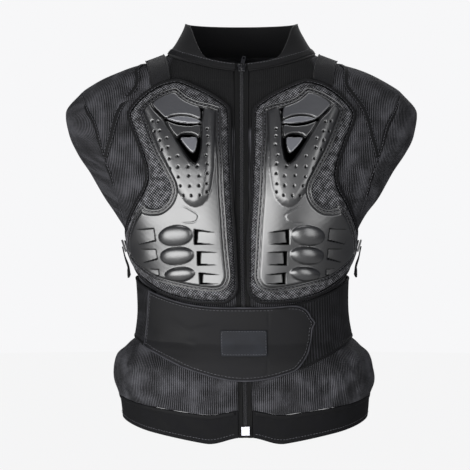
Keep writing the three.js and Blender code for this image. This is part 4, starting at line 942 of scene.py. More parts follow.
# Folds of the cloth: from and to as (degrees round from the zip, level), height and width in mm
CAP_FOLDS = (
    ((-69, 3.9), (-62, 4.02), 3.0, 4.5), ((-70, 3.84), (-66, 3.9), 2.4, 4), ((-59, 3.4), (-54, 3.47), 2.6, 4),
    ((58, 3.66), (66, 3.38), 3.2, 5), ((66, 3.88), (70, 3.47), 2.8, 5), ((54, 3.4), (61, 3.28), 2.6, 4),
    ((60, 4.32), (62, 3.93), 2.4, 4), ((-64, 4.3), (-67, 4.08), 2.0, 4),
    ((118, 3.8), (126, 3.2), 3, 7), ((-116, 3.8), (-124, 3.2), 3, 7), ((150, 4.3), (128, 4.0), 2.5, 7),
    ((-150, 4.3), (-128, 4.0), 2.5, 7), ((84, 2.95), (78, 2.6), 2.6, 6), ((-84, 2.95), (-77, 2.6), 2.6, 6),
    ((98, 2.9), (106, 2.55), 2.6, 6), ((-98, 2.9), (-108, 2.5), 2.6, 6),
)
SKIRT_FOLDS = (
    ((-80, 1.36), (-52, 1.44), 3.4, 5), ((-70, 1.6), (-48, 1.6), 3.6, 5), ((-68, 1.47), (-47, 1.66), 2.6, 4),
    ((-62, 1.2), (-40, 1.3), 2.4, 6), ((-16, 1.06), (-6, 1.42), 3.8, 6), ((-30, 1.1), (-24, 1.5), 1.8, 5),
    ((49, 1.7), (54, 1.12), 3.6, 4.5), ((51, 1.74), (60, 1.12), 3.4, 4.5), ((46, 1.68), (48, 1.1), 2.8, 4),
    ((40, 1.64), (41, 1.08), 2.6, 4), ((34, 1.55), (35, 1.1), 2.4, 4), ((56, 1.78), (66, 1.3), 3.0, 5),
    ((69, 1.9), (64, 1.56), 3.0, 5), ((43, 1.64), (44.5, 1.1), 2.0, 3.5), ((24, 1.5), (22, 1.15), 1.8, 5),
    ((76, 1.7), (84, 1.2), 2.6, 6), ((96, 1.7), (92, 1.15), 2.6, 6), ((-92, 1.7), (-88, 1.15), 2.6, 6),
    ((120, 1.6), (124, 1.1), 2.8, 7), ((145, 1.55), (141, 1.1), 2.8, 7), ((172, 1.5), (176, 1.1), 2.8, 7),
    ((-118, 1.6), (-123, 1.1), 2.8, 7), ((-146, 1.55), (-142, 1.1), 2.8, 7),
    ((-170, 1.5), (-166, 1.1), 2.4, 7),
)
WING_FOLDS = (
    ((-45, 2.2), (-36, 2.1), 1.3, 5), ((-36, 2.1), (-21, 2.16), 1.3, 5), ((-37, 2.02), (-30, 1.98), 0.9, 5),
    ((20, 2.36), (30, 2.28), 0.9, 6), ((-58, 2.1), (-50, 2.0), 1.0, 6),
)


def panel_level(t):
    """Levels up a front or back panel, closer together where the armhole turns."""
    middle = 3 + (1 - np.cos(np.clip((t - 0.38) / 0.44, 0, 1) * math.pi)) / 2
    return np.where(t < 0.38, 2 + t / 0.38, np.where(t > 0.82, 4 + (t - 0.82) / 0.18, middle))


def bare_share(u, z, angle):
    """1 where the mesh is bare, 0 where a pad or the belt holds it down."""
    table = np.array(PAD_TABLE)
    heights = (-PAD_DROP - table[:, 0] * PAD_HEIGHT)[::-1]
    far = np.interp(z, heights, (PAD_INSET + table[:, 2] * PAD_WIDTH)[::-1])
    pad = np.where(z > heights[-1], 1.0, smoothstep(np.abs(u) - far, 0.002, 0.014))
    behind = np.abs(angle) > math.pi / 2
    beside = np.abs(girth(np.pi - np.abs(angle), z, BACK_LENGTHS)) - BACK_PAD_HALF
    beyond = np.maximum(-BACK_PAD_DROP - BACK_PAD_HEIGHT - z, z + BACK_PAD_DROP)
    back = smoothstep(np.maximum(beside, beyond), 0.002, 0.014)
    under_top = smoothstep(belt_edge(angle, 1) - z, -0.012, -0.001)
    over_bottom = smoothstep(z - belt_edge(angle, -1), -0.012, -0.001)
    zip_side = smoothstep(np.abs(u), 0.009, 0.016)
    return np.where(behind, back, pad) * (1 - under_top * over_bottom) * np.where(behind, 1, zip_side)


def cloth_lift(s, t, angle, z):
    """Distance of the bare mesh from the body: soft waves and folds."""
    turned = signed_turn(angle)
    bare = bare_share(girth(turned, z), z, turned)
    waves = 0.7 * MM * (1 + ripple(girth(turned, z), z, 0.028, 1.0))
    return MESH_WALL + bare * (waves + fold_lift(turned, z, CAP_FOLDS))


def skirt_lift(s, t, angle, z):
    """The skirt swells between the belt and the hem band in uneven gathers."""
    turned = signed_turn(angle)
    top, bottom = belt_edge(turned, -1), LEVELS[1]
    swell = np.sin(math.pi * np.clip((z - bottom) / (top - bottom), 0, 1))
    u = girth(turned, z)
    gathers = 0.4 + 0.6 * np.sin(22 * turned + 1.4 * np.sin(5 * turned) + 8 * (z - bottom))
    fine = 0.5 * np.sin(u / 0.0042 + 2.5 * np.sin(u / 0.03))
    held = smoothstep(top - z, -0.002, 0.012)
    lift = 1.6 * MM * swell * (1 + gathers) + 0.35 * MM * fine + 0.8 * MM * ripple(u, z, 0.02)
    return MESH_WALL + 0.6 * MM + held * (lift + fold_lift(turned, z, SKIRT_FOLDS) * (0.35 + 0.65 * swell))


VIEW_MIDDLE, LIGHT_AIM, FLOOR_RADIUS = (-0.0088, -0.060, -0.236), (0, 0, -0.22), 9
FLOOR_GREY, FLOOR_SEEN = (0.5, 0.5, 0.5, 1), 0.985
BACKDROP, SKY, SKY_STRENGTH = (0.93, 0.93, 0.94, 1), (0.9, 0.92, 1, 1), 0.22
# Lights: name, place, width and height in metres, power in watts
LIGHTS = (
    ("key", (-1.26, -1.99, -0.62), 3.4, 1.9, 130),
    ("fill", (1.45, -1.75, -0.1), 1.0, 1.8, 20),
    ("top", (0.1, -0.2, 1.9), 1.4, 0.9, 20),
    ("back", (0.6, 2.0, 0.9), 1.8, 1.4, 16),
)


def new_light(name, place, width, height, power):
    data = bpy.data.lights.new(name, "AREA")
    data.shape, data.size, data.size_y, data.energy = "RECTANGLE", width, height, power
    lamp = bpy.data.objects.new(name, data)
    lamp.location = place
    lamp.rotation_euler = (Vector(LIGHT_AIM) - Vector(place)).to_track_quat("-Z", "Y").to_euler()
    bpy.context.scene.collection.objects.link(lamp)


def finish_of(name):
    return bpy.data.materials[name]


class VestSizes(bpy.types.PropertyGroup):
    """Sizes of the fine work on the vest."""
    plate_cell: bpy.props.FloatProperty(
        name="Plate detail", description="Distance between points of the moulded plates", default=0.00095,
        min=0.0005, max=0.004, unit="LENGTH")
    pad_cell: bpy.props.FloatProperty(
        name="Pad detail", description="Distance between points of the padded pieces", default=0.0022,
        min=0.001, max=0.006, unit="LENGTH")
    rib_pitch: bpy.props.FloatProperty(
        name="Rib pitch", description="Distance between ribs of the knitted mesh", default=0.0027,
        min=0.001, max=0.01, unit="LENGTH")
    check_size: bpy.props.FloatProperty(
        name="Check size", description="Distance between threads of the woven check", default=0.0026,
        min=0.001, max=0.01, unit="LENGTH")
    stitch_length: bpy.props.FloatProperty(
        name="Stitch length", description="Length of the stitches round the plates", default=0.0032,
        min=0.001, max=0.01, unit="LENGTH")
    tooth_pitch: bpy.props.FloatProperty(
        name="Tooth pitch", description="Distance between the coil's teeth", default=0.0016,
        min=0.001, max=0.005, unit="LENGTH")


class VestStage(bpy.types.PropertyGroup):
    """Camera, floor and light."""
    camera_distance: bpy.props.FloatProperty(
        name="Camera distance", description="From the camera to the middle of the vest", default=2.4,
        unit="LENGTH")
    camera_height: bpy.props.FloatProperty(
        name="Camera height", description="Angle of the camera above the vest", default=3 * DEGREE,
        subtype="ANGLE")
    image_width: bpy.props.FloatProperty(
        name="Image width", description="Width of the view at the vest", default=0.6345, unit="LENGTH")
    floor_drop: bpy.props.FloatProperty(
        name="Floor drop", description="From the hem down to the floor", default=0.95, unit="LENGTH")
    floor_color: bpy.props.FloatVectorProperty(
        name="Floor colour", description="Pale floor", default=(0.925, 0.925, 0.93), subtype="COLOR")


class VEST_OT_stage(bpy.types.Operator):
    """Camera at the vest's front, plain pale floor and soft light"""
    bl_idname = "vest.stage"
    bl_label = "Stage"

    def execute(self, context):
        look = context.scene.vest_stage
        aim = Vector(VIEW_MIDDLE)
        data = bpy.data.cameras.new("camera")
        data.sensor_width = 36
        data.lens = data.sensor_width * look.camera_distance / look.image_width
        data.clip_end = 60
        camera = bpy.data.objects.new("camera", data)
        away = Vector((0, -math.cos(look.camera_height), math.sin(look.camera_height)))
        camera.location = aim + look.camera_distance * away
        camera.rotation_euler = (-away).to_track_quat("-Z", "Y").to_euler()
        context.scene.collection.objects.link(camera)
        context.scene.camera = camera

        bm = bmesh.new()
        bmesh.ops.create_circle(bm, cap_ends=True, segments=96, radius=FLOOR_RADIUS)
        bmesh.ops.translate(bm, vec=(0, 0, CAD_BOX[0][2] - look.floor_drop), verts=bm.verts)
        mesh = bpy.data.meshes.new("floor")
        bm.to_mesh(mesh)
        bm.free()
        pale_floor = bpy.data.materials.new("Floor")
        pale_floor.use_nodes = True
        tree = pale_floor.node_tree
        matt = node(tree, "ShaderNodeBsdfDiffuse", {"Color": FLOOR_GREY})
        glow = node(tree, "ShaderNodeEmission", {"Color": (*look.floor_color, 1), "Strength": 1.0})
        seen = node(tree, "ShaderNodeLightPath").outputs["Is Camera Ray"]
        share = node(tree, "ShaderNodeMath", {0: seen, 1: FLOOR_SEEN}, operation="MULTIPLY").outputs[0]
        both = node(tree, "ShaderNodeMixShader", {0: share, 1: matt.outputs[0], 2: glow.outputs[0]})
        tree.links.new(both.outputs[0], tree.nodes["Material Output"].inputs["Surface"])
        mesh.materials.append(pale_floor)
        floor = bpy.data.objects.new("floor", mesh)
        context.scene.collection.objects.link(floor)

        world = bpy.data.worlds.new("studio")
        world.use_nodes = True
        tree = world.node_tree
        dim = tree.nodes["Background"]
        dim.inputs["Color"].default_value, dim.inputs["Strength"].default_value = SKY, SKY_STRENGTH
        pale = node(tree, "ShaderNodeBackground", {"Color": BACKDROP, "Strength": 1.0})
        seen = node(tree, "ShaderNodeLightPath").outputs["Is Camera Ray"]
        both = node(tree, "ShaderNodeMixShader", {0: seen, 1: dim.outputs[0], 2: pale.outputs[0]})
        tree.links.new(both.outputs[0], tree.nodes["World Output"].inputs["Surface"])
        context.scene.world = world
        context.scene.view_settings.view_transform = "Standard"
        for light in LIGHTS:
            new_light(*light)
        return {"FINISHED"}


class VEST_OT_finishes(bpy.types.Operator):
    """Cloths, webbing, moulded plastic and metal"""
    bl_idname = "vest.finishes"
    bl_label = "Finishes"

    def execute(self, context):
        sizes = context.scene.vest_sizes
        rib, check, grain = rib_group(), check_group(), grain_group()
        surface("Knitted mesh", rib, {"Pitch": sizes.rib_pitch, "Stitch": 0.002}, "#060607",
                "#4c4c50", rough=(0.72, 0.88), bump=0.8, depth=0.0007, mask=("sheer", "#0a0a0b"))
        surface("Woven check", check, {"Size": sizes.check_size}, "#060607", "#808084",
                tone_share=0.12, rough=(0.7, 0.85), bump=0.5, depth=0.0005)
        surface("Hem jersey", rib, {"Pitch": 0.0016, "Stitch": 0.0016}, "#040405", "#0f0f12",
                rough=(0.75, 0.9), bump=0.35, depth=0.0003)
        surface("Collar jersey", grain, {"Fine": 1400.0, "Slow": 24.0}, "#040405", "#0b0b0d",
                rough=(0.7, 0.85), bump=0.2, depth=0.0002, Sheen_Weight=0.05)
        surface("Belt cloth", grain, {"Fine": 1200.0, "Slow": 16.0}, "#0b0b0c", "#161618",
                rough=(0.6, 0.75), bump=0.25, depth=0.0002)
        surface("Belt elastic", rib, {"Pitch": 0.0042, "Stitch": 0.0014}, "#050506", "#232326",
                rough=(0.65, 0.85), bump=0.7, depth=0.0006)
        surface("Patch twill", rib, {"Pitch": 0.0013, "Stitch": 0.0011}, "#17181b", "#27292e",
                rough=(0.6, 0.75), bump=0.3, depth=0.0002)
        surface("Edging", rib, {"Pitch": 0.0014, "Stitch": 0.0009}, "#030304", "#101012",
                rough=(0.6, 0.8), bump=0.4, depth=0.0003)
        surface("Piping", grain, {"Fine": 1500.0, "Slow": 60.0}, "#1c1c1f", "#37373b",
                rough=(0.5, 0.65), bump=0.2, depth=0.0002)
        surface("Webbing", rib, {"Pitch": 0.0019, "Stitch": 0.0011}, "#030303", "#0e0e10",
                rough=(0.65, 0.85), bump=0.5, depth=0.0003)
        surface("Brushed loop", grain, {"Fine": 700.0, "Slow": 90.0}, "#040405", "#0f0f12",
                rough=(0.85, 0.98), bump=0.8, depth=0.0007, Sheen_Weight=0.1, Sheen_Roughness=0.5)
        surface("Thread", grain, {"Fine": 2500.0, "Slow": 200.0}, "#2a2a2d", "#5c5c62",
                rough=(0.5, 0.65), bump=0.2, depth=0.0001, on_cloth=False)
        # The plate finish blackens as painted shade where its attribute marks recesses, holes, the groove and
        # the scoops
        surface("Moulded plate", grain, {"Fine": 1700.0, "Slow": 14.0}, "#060607", "#0d0d0f",
                rough=(0.27, 0.36), bump=0.16, depth=0.0002, mask=("pale", "#54555a"), painted_shade="painted_shade",
                Specular_IOR_Level=1.0, IOR=1.6)
        surface("Moulded buckle", grain, {"Fine": 1700.0, "Slow": 40.0}, "#101012", "#202024",
                rough=(0.3, 0.42), bump=0.12, depth=0.0001, on_cloth=False)
        surface("Coil nylon", grain, {"Fine": 2200.0, "Slow": 90.0}, "#0e0e10", "#26262a",
                rough=(0.35, 0.5), bump=0.15, depth=0.0001, on_cloth=False)
        surface("Black lacquer", grain, {"Fine": 1500.0, "Slow": 160.0}, "#101012", "#28282c",
                rough=(0.18, 0.32), bump=0.08, depth=0.0001, on_cloth=False, Metallic=0.6, Coat_Weight=0.6)
        surface("Worn steel", grain, {"Fine": 1800.0, "Slow": 180.0}, "#77777c", "#b9b9bf",
                rough=(0.2, 0.36), bump=0.08, depth=0.0001, on_cloth=False, Metallic=1.0)
        return {"FINISHED"}


class VEST_OT_mesh_shell(bpy.types.Operator):
    """Knitted mesh panels of the body and the gathered skirt under the belt"""
    bl_idname = "vest.mesh_shell"
    bl_label = "Mesh shell"

    def execute(self, context):
        cloth = finish_of("Knitted mesh")

        def trimmed(angle, level, t):
            """Height of a row, just short of the seam at both ends of the panel."""
            at_end = np.abs(2 * t - 1) > 0.999
            return row_height(angle, level) + SEAM_GAP * np.where(t < 0.5, 1, -1) * at_end

        def panel(sign, levels):
            def where(s, t):
                level = levels(t)
                z = level_height(level)
                start = turn_at(np.full_like(z, ZIP_HALF), z)
                end = armhole_angle(level, False) - SEAM_GAP / CHEST_HALF
                share = s if sign > 0 else 1 - s
                angle = sign * (start + (end - start) * share)
                return angle, trimmed(angle, level, t)
            return where

        def back(levels):
            def where(s, t):
                level = levels(t)
                end = math.pi - armhole_angle(level, True) - SEAM_GAP / CHEST_HALF
                angle = math.pi + (2 * s - 1) * end
                return angle, trimmed(angle, level, t)
            return where

        def skirt_level(t):
            return 1 + t

        for side, sign in (("right", -1), ("left", 1)):
            made = laid_cloth(f"front_mesh_{side}_cloth", 120, 190, panel(sign, panel_level), cloth_lift,
                              cloth, "mesh_cloth", wall=MESH_SHEET, replaces=(f"front_mesh_{side}",))
            paint(made, "sheer", yoke_shade)
            skirt = laid_cloth(f"skirt_mesh_{side}_cloth", 200, 70, panel(sign, skirt_level), skirt_lift,
                               cloth, "mesh_cloth", wall=MESH_SHEET, replaces=(f"skirt_mesh_{side}",))
        made = laid_cloth("back_mesh_cloth", 200, 190, back(panel_level), cloth_lift, cloth, "mesh_cloth",
                          wall=MESH_SHEET, replaces=("back_mesh",))
        skirt = laid_cloth("skirt_mesh_back_cloth", 300, 70, back(skirt_level), skirt_lift, cloth,
                           "mesh_cloth", wall=MESH_SHEET, replaces=("skirt_mesh_back",))
        return {"FINISHED"}


YOKE_SEAM = ((80, 4.7), (69, 4.34), (66.4, 4.06), (66.8, 3.85), (66.6, 3.7), (67.6, 3.6), (68.6, 3.54))


YOKE_HALF, YOKE_FOOT, YOKE_FADE = 0.100, -0.10, 0.010


def yoke_shade(flat):
    """1 on the sheer darker mesh beside the collar."""
    beside = smoothstep(YOKE_HALF - np.abs(flat[:, 0]), -0.003, 0.003)
    return beside * smoothstep(flat[:, 1], YOKE_FOOT, YOKE_FOOT + YOKE_FADE)


def round_the_body(bottom, top):
    """Places of a band that goes round the body from one side of the zip to the other."""
    def where(s, t):
        front = np.zeros_like(s)
        start = turn_at(np.full_like(s, ZIP_HALF), bottom(front) * (1 - t) + top(front) * t)
        angle = start + (2 * math.pi - 2 * start) * s
        return angle, bottom(angle) * (1 - t) + top(angle) * t
    return where


class VEST_OT_collar_and_hem(bpy.types.Operator):
    """Stand collar with the seam band at its foot, and the hem band"""
    bl_idname = "vest.collar_and_hem"
    bl_label = "Collar and hem"

    def execute(self, context):
        def hem_lift(s, t, angle, z):
            u = angle * BODY_RADIUS
            pucker = 0.45 * np.sin(u / 0.0036 + 2 * np.sin(u / 0.021)) * smoothstep(t, 0.45, 1)
            roll = smoothstep(np.abs(t - 0.5), 0.5, 0.42)
            return 2.2 * MM + MM * (0.6 * pucker + 0.5 * ripple(u, z, 0.03) * (0.3 + 0.7 * roll))

        band = round_the_body(lambda angle: row_height(angle, 0.0),
                              lambda angle: row_height(angle, 1.0) - SEAM_GAP)
        hem = laid_cloth("hem_band_cloth", 560, 24, band, hem_lift, finish_of("Hem jersey"), "smooth_cloth",
                         wall=2.1 * MM, replaces=("hem_band",))
        round_rim(hem, 0.8 * MM)

        def collar_lift(s, t, angle, z):
            lean = 0.5 * MM * ripple(angle * 0.08, z, 0.03, 2.0)
            return 3.4 * MM + lean * smoothstep(t, 0.1, 0.5)

        band = round_the_body(lambda angle: row_height(angle, 5.0) + SEAM_GAP,
                              lambda angle: row_height(angle, 5.0) + collar_height(angle))
        collar = laid_cloth("collar_cloth", 300, 30, band, collar_lift, finish_of("Collar jersey"),
                            "smooth_cloth", wall=3.2 * MM, replaces=("collar",))
        round_rim(collar, 1.3 * MM, 3)

        turns = np.linspace(6.5, 353.5, 260) * DEGREE
        for name, level, rise, width, thick, lift in (
                ("collar_seam_band", 5.0, 0.0042, 0.007, 0.0011, 0.0034),
                ("hem_seam_band", 1.0, -0.0030, 0.005, 0.0008, 0.0023)):
            z = row_height(turns, level) + rise
            path, normals = on_body(turns, z, np.full_like(z, lift)), outward(turns, z)
            tape(name, path, normals, flat_section(width, thick, -0.2 * MM, 3, 10), finish_of("Edging"),
                 "edging")
        for name, level, rise, lift in (("collar_foot_stitches", 5.0, 0.0085, 3.45),
                                        ("hem_foot_stitches", 0.0, 0.006, 2.5)):
            z = row_height(turns, level) + rise
            path, normals = on_body(turns, z, np.full_like(z, lift * MM)), outward(turns, z)
            stitches(name, path, normals, 0.0026, 0.0016, 0.32 * MM)
        return {"FINISHED"}


def side_path(places, sign, lift=0.0):
    """Points and normals on the body for rows of angle (degrees), height and lift, on one side."""
    rows = np.array(places, float)
    angle = sign * rows[:, 0] * DEGREE
    extra = rows[:, 2] if rows.shape[1] > 2 else 0
    lifts = np.full(len(rows), lift) + extra
    return on_body(angle, rows[:, 1], lifts), outward(angle, rows[:, 1])


def smooth_rows(rows, count):
    """More rows on a smooth line through the given ones."""
    rows = np.array(rows, float)
    steps = np.linalg.norm(np.diff(rows[:, :2] * [DEGREE * BODY_RADIUS, 1], axis=0), axis=1)
    knots = np.concatenate([[0], np.cumsum(steps)])
    at = np.linspace(0, knots[-1], count)
    return np.stack([monotone(knots, rows[:, column], at) for column in range(rows.shape[1])], axis=1)


class VEST_OT_bindings(bpy.types.Operator):
    """Bound armholes and the seam tape on each shoulder"""
    bl_idname = "vest.bindings"
    bl_label = "Armhole bindings and seam tapes"

    def execute(self, context):
        levels = 3 + (1 - np.cos(np.linspace(0, math.pi, 90))) / 2
        front = armhole_angle(levels, False)
        back = math.pi - armhole_angle(levels, True)
        for side, sign in (("right", -1), ("left", 1)):
            angle = sign * np.concatenate([front, back[::-1][1:-1]])
            level = np.concatenate([levels, levels[::-1][1:-1]])
            z = row_height(angle, level)
            edge = even_path(torso(angle, z), 0.005, closed=True)
            around = np.arctan2(edge[:, 0], -edge[:, 1])
            normals = outward(around, edge[:, 2])
            along = unit(np.roll(edge, -1, 0) - np.roll(edge, 1, 0))
            into = unit(np.cross(along, normals))
            into *= np.sign(np.sum(into * (edge.mean(0) - edge), axis=1))[:, None]
            for _ in range(6):
                normals = unit(np.roll(normals, 1, 0) + normals + np.roll(normals, -1, 0))
                into = unit(np.roll(into, 1, 0) + into + np.roll(into, -1, 0))
            path = edge + into * 3.0 * MM
            section = flat_section(5.4 * MM, 2.5 * MM, -0.65 * MM, 2.8, 12)
            tape(f"armhole_binding_{side}_tape", path, normals, section, finish_of("Edging"), "edging",
                 closed=True, replaces=(f"armhole_binding_{side}",))
            inner = edge + into * 1.2 * MM + normals * 1.9 * MM
            stitches(f"armhole_stitches_{side}", inner, normals, 0.0026, 0.0016, 0.28 * MM, closed=True)
            rows = [(turn, float(level_height(np.array(row)))) for turn, row in YOKE_SEAM]
            path, normals = side_path(smooth_rows(rows, 50), sign, 2.8 * MM)
            tape(f"yoke_tape_{side}_tape", path, normals, flat_section(8 * MM, 0.9 * MM, 0, 3, 10),
                 finish_of("Edging"), "edging", replaces=(f"yoke_tape_{side}",))
            beside = unit(np.cross(unit(np.gradient(path, axis=0)), normals))
            for row, shift in (("a", -2.9), ("b", 2.9)):
                line = path + beside * shift * MM + normals * 0.85 * MM
                stitches(f"yoke_stitches_{side}_{row}", line, normals, 0.0026, 0.0016, 0.25 * MM)
        return {"FINISHED"}


class VEST_OT_chest_pads(bpy.types.Operator):
    """Padded chest guards in checked cloth, with bound edges"""
    bl_idname = "vest.chest_pads"
    bl_label = "Chest pads"

    def execute(self, context):
        cell = context.scene.vest_sizes.pad_cell
        for side, sign in (("right", -1), ("left", 1)):
            loop = PAD_LOOP * [sign, 1]
            pad = contour_patch(f"chest_pad_{side}_cloth", inset_loop(loop, PAD_SEAM), cell, pad_relief,
                                PAD_BASE, finish_of("Woven check"), "check_cloth",
                                replaces=(f"chest_pad_{side}",))
            bind_pad(f"pad_binding_{side}", loop)
        return {"FINISHED"}


def bind_pad(node_name, loop, behind=False):
    """Rolled binding along a pad's outline."""
    middle = even_path(inset_loop(loop, BINDING_WIDTH / 2), 0.004, closed=True)
    points, normals = flat_to_body(middle, PAD_BASE, behind)
    section = flat_section(BINDING_WIDTH, BINDING_THICK, 0, 2.5, 12)
    tape(f"{node_name}_tape", points, normals, section, finish_of("Edging"), "edging", closed=True,
         replaces=(node_name,))
    seam = even_path(inset_loop(loop, 4.2 * MM), 0.003, closed=True)
    points, normals = flat_to_body(seam, PAD_BASE + 4.0 * MM, behind)
    stitches(f"{node_name}_stitches", points, normals, 0.0028, 0.0018, 0.3 * MM, closed=True)


class VEST_OT_chest_plates(bpy.types.Operator):
    """Moulded plates with their ribs, windows and domes, sewn round the edge"""
    bl_idname = "vest.chest_plates"
    bl_label = "Chest plates"

    def execute(self, context):
        sizes = context.scene.vest_sizes
        for side, sign in (("right", -1), ("left", 1)):
            loop = PLATE_LOOP * [sign, 1]
            plate = contour_patch(f"chest_plate_{side}_moulded", loop, sizes.plate_cell, plate_relief,
                                  plate_foot, finish_of("Moulded plate"), "plastic",
                                  replaces=(f"chest_plate_{side}",))
            paint(plate, "pale", plate_shade)
            # Painted shade: recesses, holes, groove and scoops are marked for the plate finish to blacken
            paint(plate, "painted_shade", plate_painted_shade)
            section = flat_section(1.5 * MM, 1.4 * MM, power=2, count=8)
            for place, inward in (("outer", 0.9 * MM), ("inner", 5.0 * MM)):
                rail = even_path(inset_loop(loop, inward), 0.0022, closed=True)
                points, normals = flat_to_body(rail, plate_foot(rail) + PLATE_WALL - 0.75 * MM)
                tape(f"plate_rail_{place}_{side}", points, normals, section, finish_of("Moulded plate"),
                     "plastic", closed=True)
            row = even_path(inset_loop(loop, 3.0 * MM), 0.002, closed=True)
            points, normals = flat_to_body(row, plate_foot(row) + PLATE_WALL - 0.55 * MM)
            stitches(f"plate_stitches_{side}", points, normals, sizes.stitch_length, 0.0022, 0.42 * MM,
                     closed=True)
        return {"FINISHED"}


class VEST_OT_back_pad(bpy.types.Operator):
    """Plain padded back with two sewn channels and a bound edge"""
    bl_idname = "vest.back_pad"
    bl_label = "Back pad"

    def execute(self, context):
        cell = context.scene.vest_sizes.pad_cell
        pad = contour_patch("back_pad_cloth", inset_loop(BACK_PAD_LOOP, PAD_SEAM), 1.2 * cell,
                            back_pad_relief, PAD_BASE, finish_of("Woven check"), "check_cloth", behind=True,
                            replaces=("back_pad",))
        bind_pad("back_pad_binding", BACK_PAD_LOOP, behind=True)
        return {"FINISHED"}


WING_START, WING_END, WING_SEAM = -62, 45, 0.0325
PATCH_HALF_WIDTH, PATCH_HALF_HEIGHT, PATCH_CORNER = 0.030, 0.018, 0.0025
# Rounded end of the front wing: turn from its end in degrees, trim above and below as shares of its height
WING_TIP = ((0, 0.26, 0.46), (2, 0.16, 0.28), (5, 0.08, 0.16), (10, 0.02, 0.06), (16, 0, 0))


def wing_loop():
    """Flat outline of the front wing."""
    tip = np.array(WING_TIP, float)
    reach = tip[-1, 0]
    degrees = np.concatenate([np.linspace(WING_START, WING_END - reach, 60),
                              WING_END - np.linspace(reach - 0.5, 0, 24)])
    sides = []
    for edge, column in ((-1, 2), (1, 1)):
        trim = monotone(tip[:, 0], tip[:, column], np.clip(WING_END - degrees, 0, reach - MM)) * BELT_HEIGHT
        z = belt_edge(degrees * DEGREE, edge) - edge * trim
        sides.append(np.stack([girth(degrees * DEGREE, z), z], axis=1))
    low, high = sides
    end = np.linspace(low[-1], high[-1], 8)[1:-1]
    bulge = np.sin(np.linspace(0, math.pi, 8)[1:-1])[:, None] * [0.0035, 0]
    start = np.linspace(high[0], low[0], 30)[1:-1]
    return even_path(np.vstack([low, end + bulge, high[::-1], start]), 0.003, closed=True)


def wing_relief(flat, depth):
    """The smooth wing: soft edge, wrinkles beside the plates and the seam beside the patch."""
    turn = np.clip(depth / (3.2 * MM), 0, 1)
    angle = turn_at(flat[:, 0], flat[:, 1])
    lean = 0.08 * np.maximum(WAIST - flat[:, 1], 0)
    seam = np.exp(-((flat[:, 0] - WING_SEAM + lean) / (0.9 * MM)) ** 2)
    patch = smoothstep(np.maximum(np.abs(flat[:, 0]) - PATCH_HALF_WIDTH,
                                  np.abs(flat[:, 1] - WAIST) - PATCH_HALF_HEIGHT), 0.002, 0.01)
    soft = patch * (0.35 * MM * ripple(flat[:, 0], flat[:, 1], 0.022, 3.0)
                    + fold_lift(angle, flat[:, 1], WING_FOLDS) - 0.7 * MM * seam)
    rim = 1.2 * MM
    return WING_BASE + rim + (WING_WALL - rim) * np.sqrt(1 - (1 - turn) ** 2) + soft * turn


class VEST_OT_belt(bpy.types.Operator):
    """Elastic waist belt, its smooth front wing with a piped edge, and the bare patch"""
    bl_idname = "vest.belt"
    bl_label = "Waist belt"

    def execute(self, context):
        def elastic(start, end):
            def where(s, t):
                angle = (start + (end - start) * s) * DEGREE
                low, high = belt_edge(angle, -1), belt_edge(angle, 1)
                return angle, low + (high - low) * t
            return where

        def elastic_lift(s, t, angle, z):
            u = girth(signed_turn(angle), z)
            bands = 0.3 * np.abs(np.sin(math.pi * u / 0.0042))
            return ELASTIC_BASE + ELASTIC_WALL - 0.3 * MM + MM * (bands + 0.25 * ripple(u, z, 0.03, 1.5))

        edge_section = flat_section(3.4 * MM, 2.0 * MM, 0, 2.2, 10)
        for name, start, end, columns, flat in (("belt_back", 94.2, 301, 560, (0.56, 0.10)),
                                                ("belt_under_wing", -31, 94, 340, (0.30, 0.10))):
            made = laid_cloth(f"{name}_cloth", columns, 36, elastic(start, end), elastic_lift,
                              finish_of("Belt elastic"), "smooth_cloth", wall=2.0 * MM, replaces=(name,))
            round_rim(made, 0.6 * MM)
            turns = np.linspace(start + 0.6, end - 0.6, 180) * DEGREE
            for edge, place in ((1, "top"), (-1, "bottom")):
                z = belt_edge(turns, edge) - edge * 1.6 * MM
                path = on_body(turns, z, np.full_like(z, ELASTIC_BASE + 0.8 * MM))
                tape(f"{name}_{place}_edge", path, outward(turns, z), edge_section, finish_of("Edging"),
                     "smooth_cloth")

        loop = wing_loop()
        wing = contour_patch("belt_front_wing_cloth", inset_loop(loop, 0.6 * MM), 1.6 * MM, wing_relief,
                             WING_BASE, finish_of("Belt cloth"), "smooth_cloth",
                             replaces=("belt_front_wing",))
        points, normals = flat_to_body(inset_loop(loop, 1.0 * MM), WING_BASE + 1.0 * MM)
        tape("wing_piping", points, normals, flat_section(2.4 * MM, 2.4 * MM, 0, 2, 10), finish_of("Piping"),
             "edging", closed=True)
        points, normals = flat_to_body(even_path(inset_loop(loop, 4.6 * MM), 0.003, closed=True),
                                       WING_BASE + WING_WALL + 0.1 * MM)
        stitches("wing_stitches", points, normals, 0.003, 0.0018, 0.3 * MM, closed=True)

        reach, rise = PATCH_HALF_WIDTH - PATCH_CORNER, PATCH_HALF_HEIGHT - PATCH_CORNER
        rounds = [(sx * reach + PATCH_CORNER * math.cos(a), WAIST + sz * rise + PATCH_CORNER * math.sin(a))
                  for sx, sz, first in ((1, 1, 0), (-1, 1, 1), (-1, -1, 2), (1, -1, 3))
                  for a in np.linspace(first, first + 1, 5) * math.pi / 2]
        outline = even_path(rounds, 0.0012, closed=True)
        base = WING_BASE + WING_WALL + 0.6 * MM

        def patch_relief(flat, depth):
            weave = 0.12 * MM * ripple(flat[:, 0], flat[:, 1], 0.015, 4.0)
            return base + 0.7 * MM + 0.7 * MM * np.clip(depth / (1.2 * MM), 0, 1) ** 0.5 + weave

        patch = contour_patch("belt_patch_cloth", outline, 0.9 * MM, patch_relief, base - 0.4 * MM,
                              finish_of("Patch twill"), "smooth_cloth", replaces=("belt_patch",))
        points, normals = flat_to_body(inset_loop(outline, 1.8 * MM), base + 1.45 * MM)
        stitches("patch_stitches", points, normals, 0.0024, 0.0014, 0.26 * MM, closed=True)
        return {"FINISHED"}


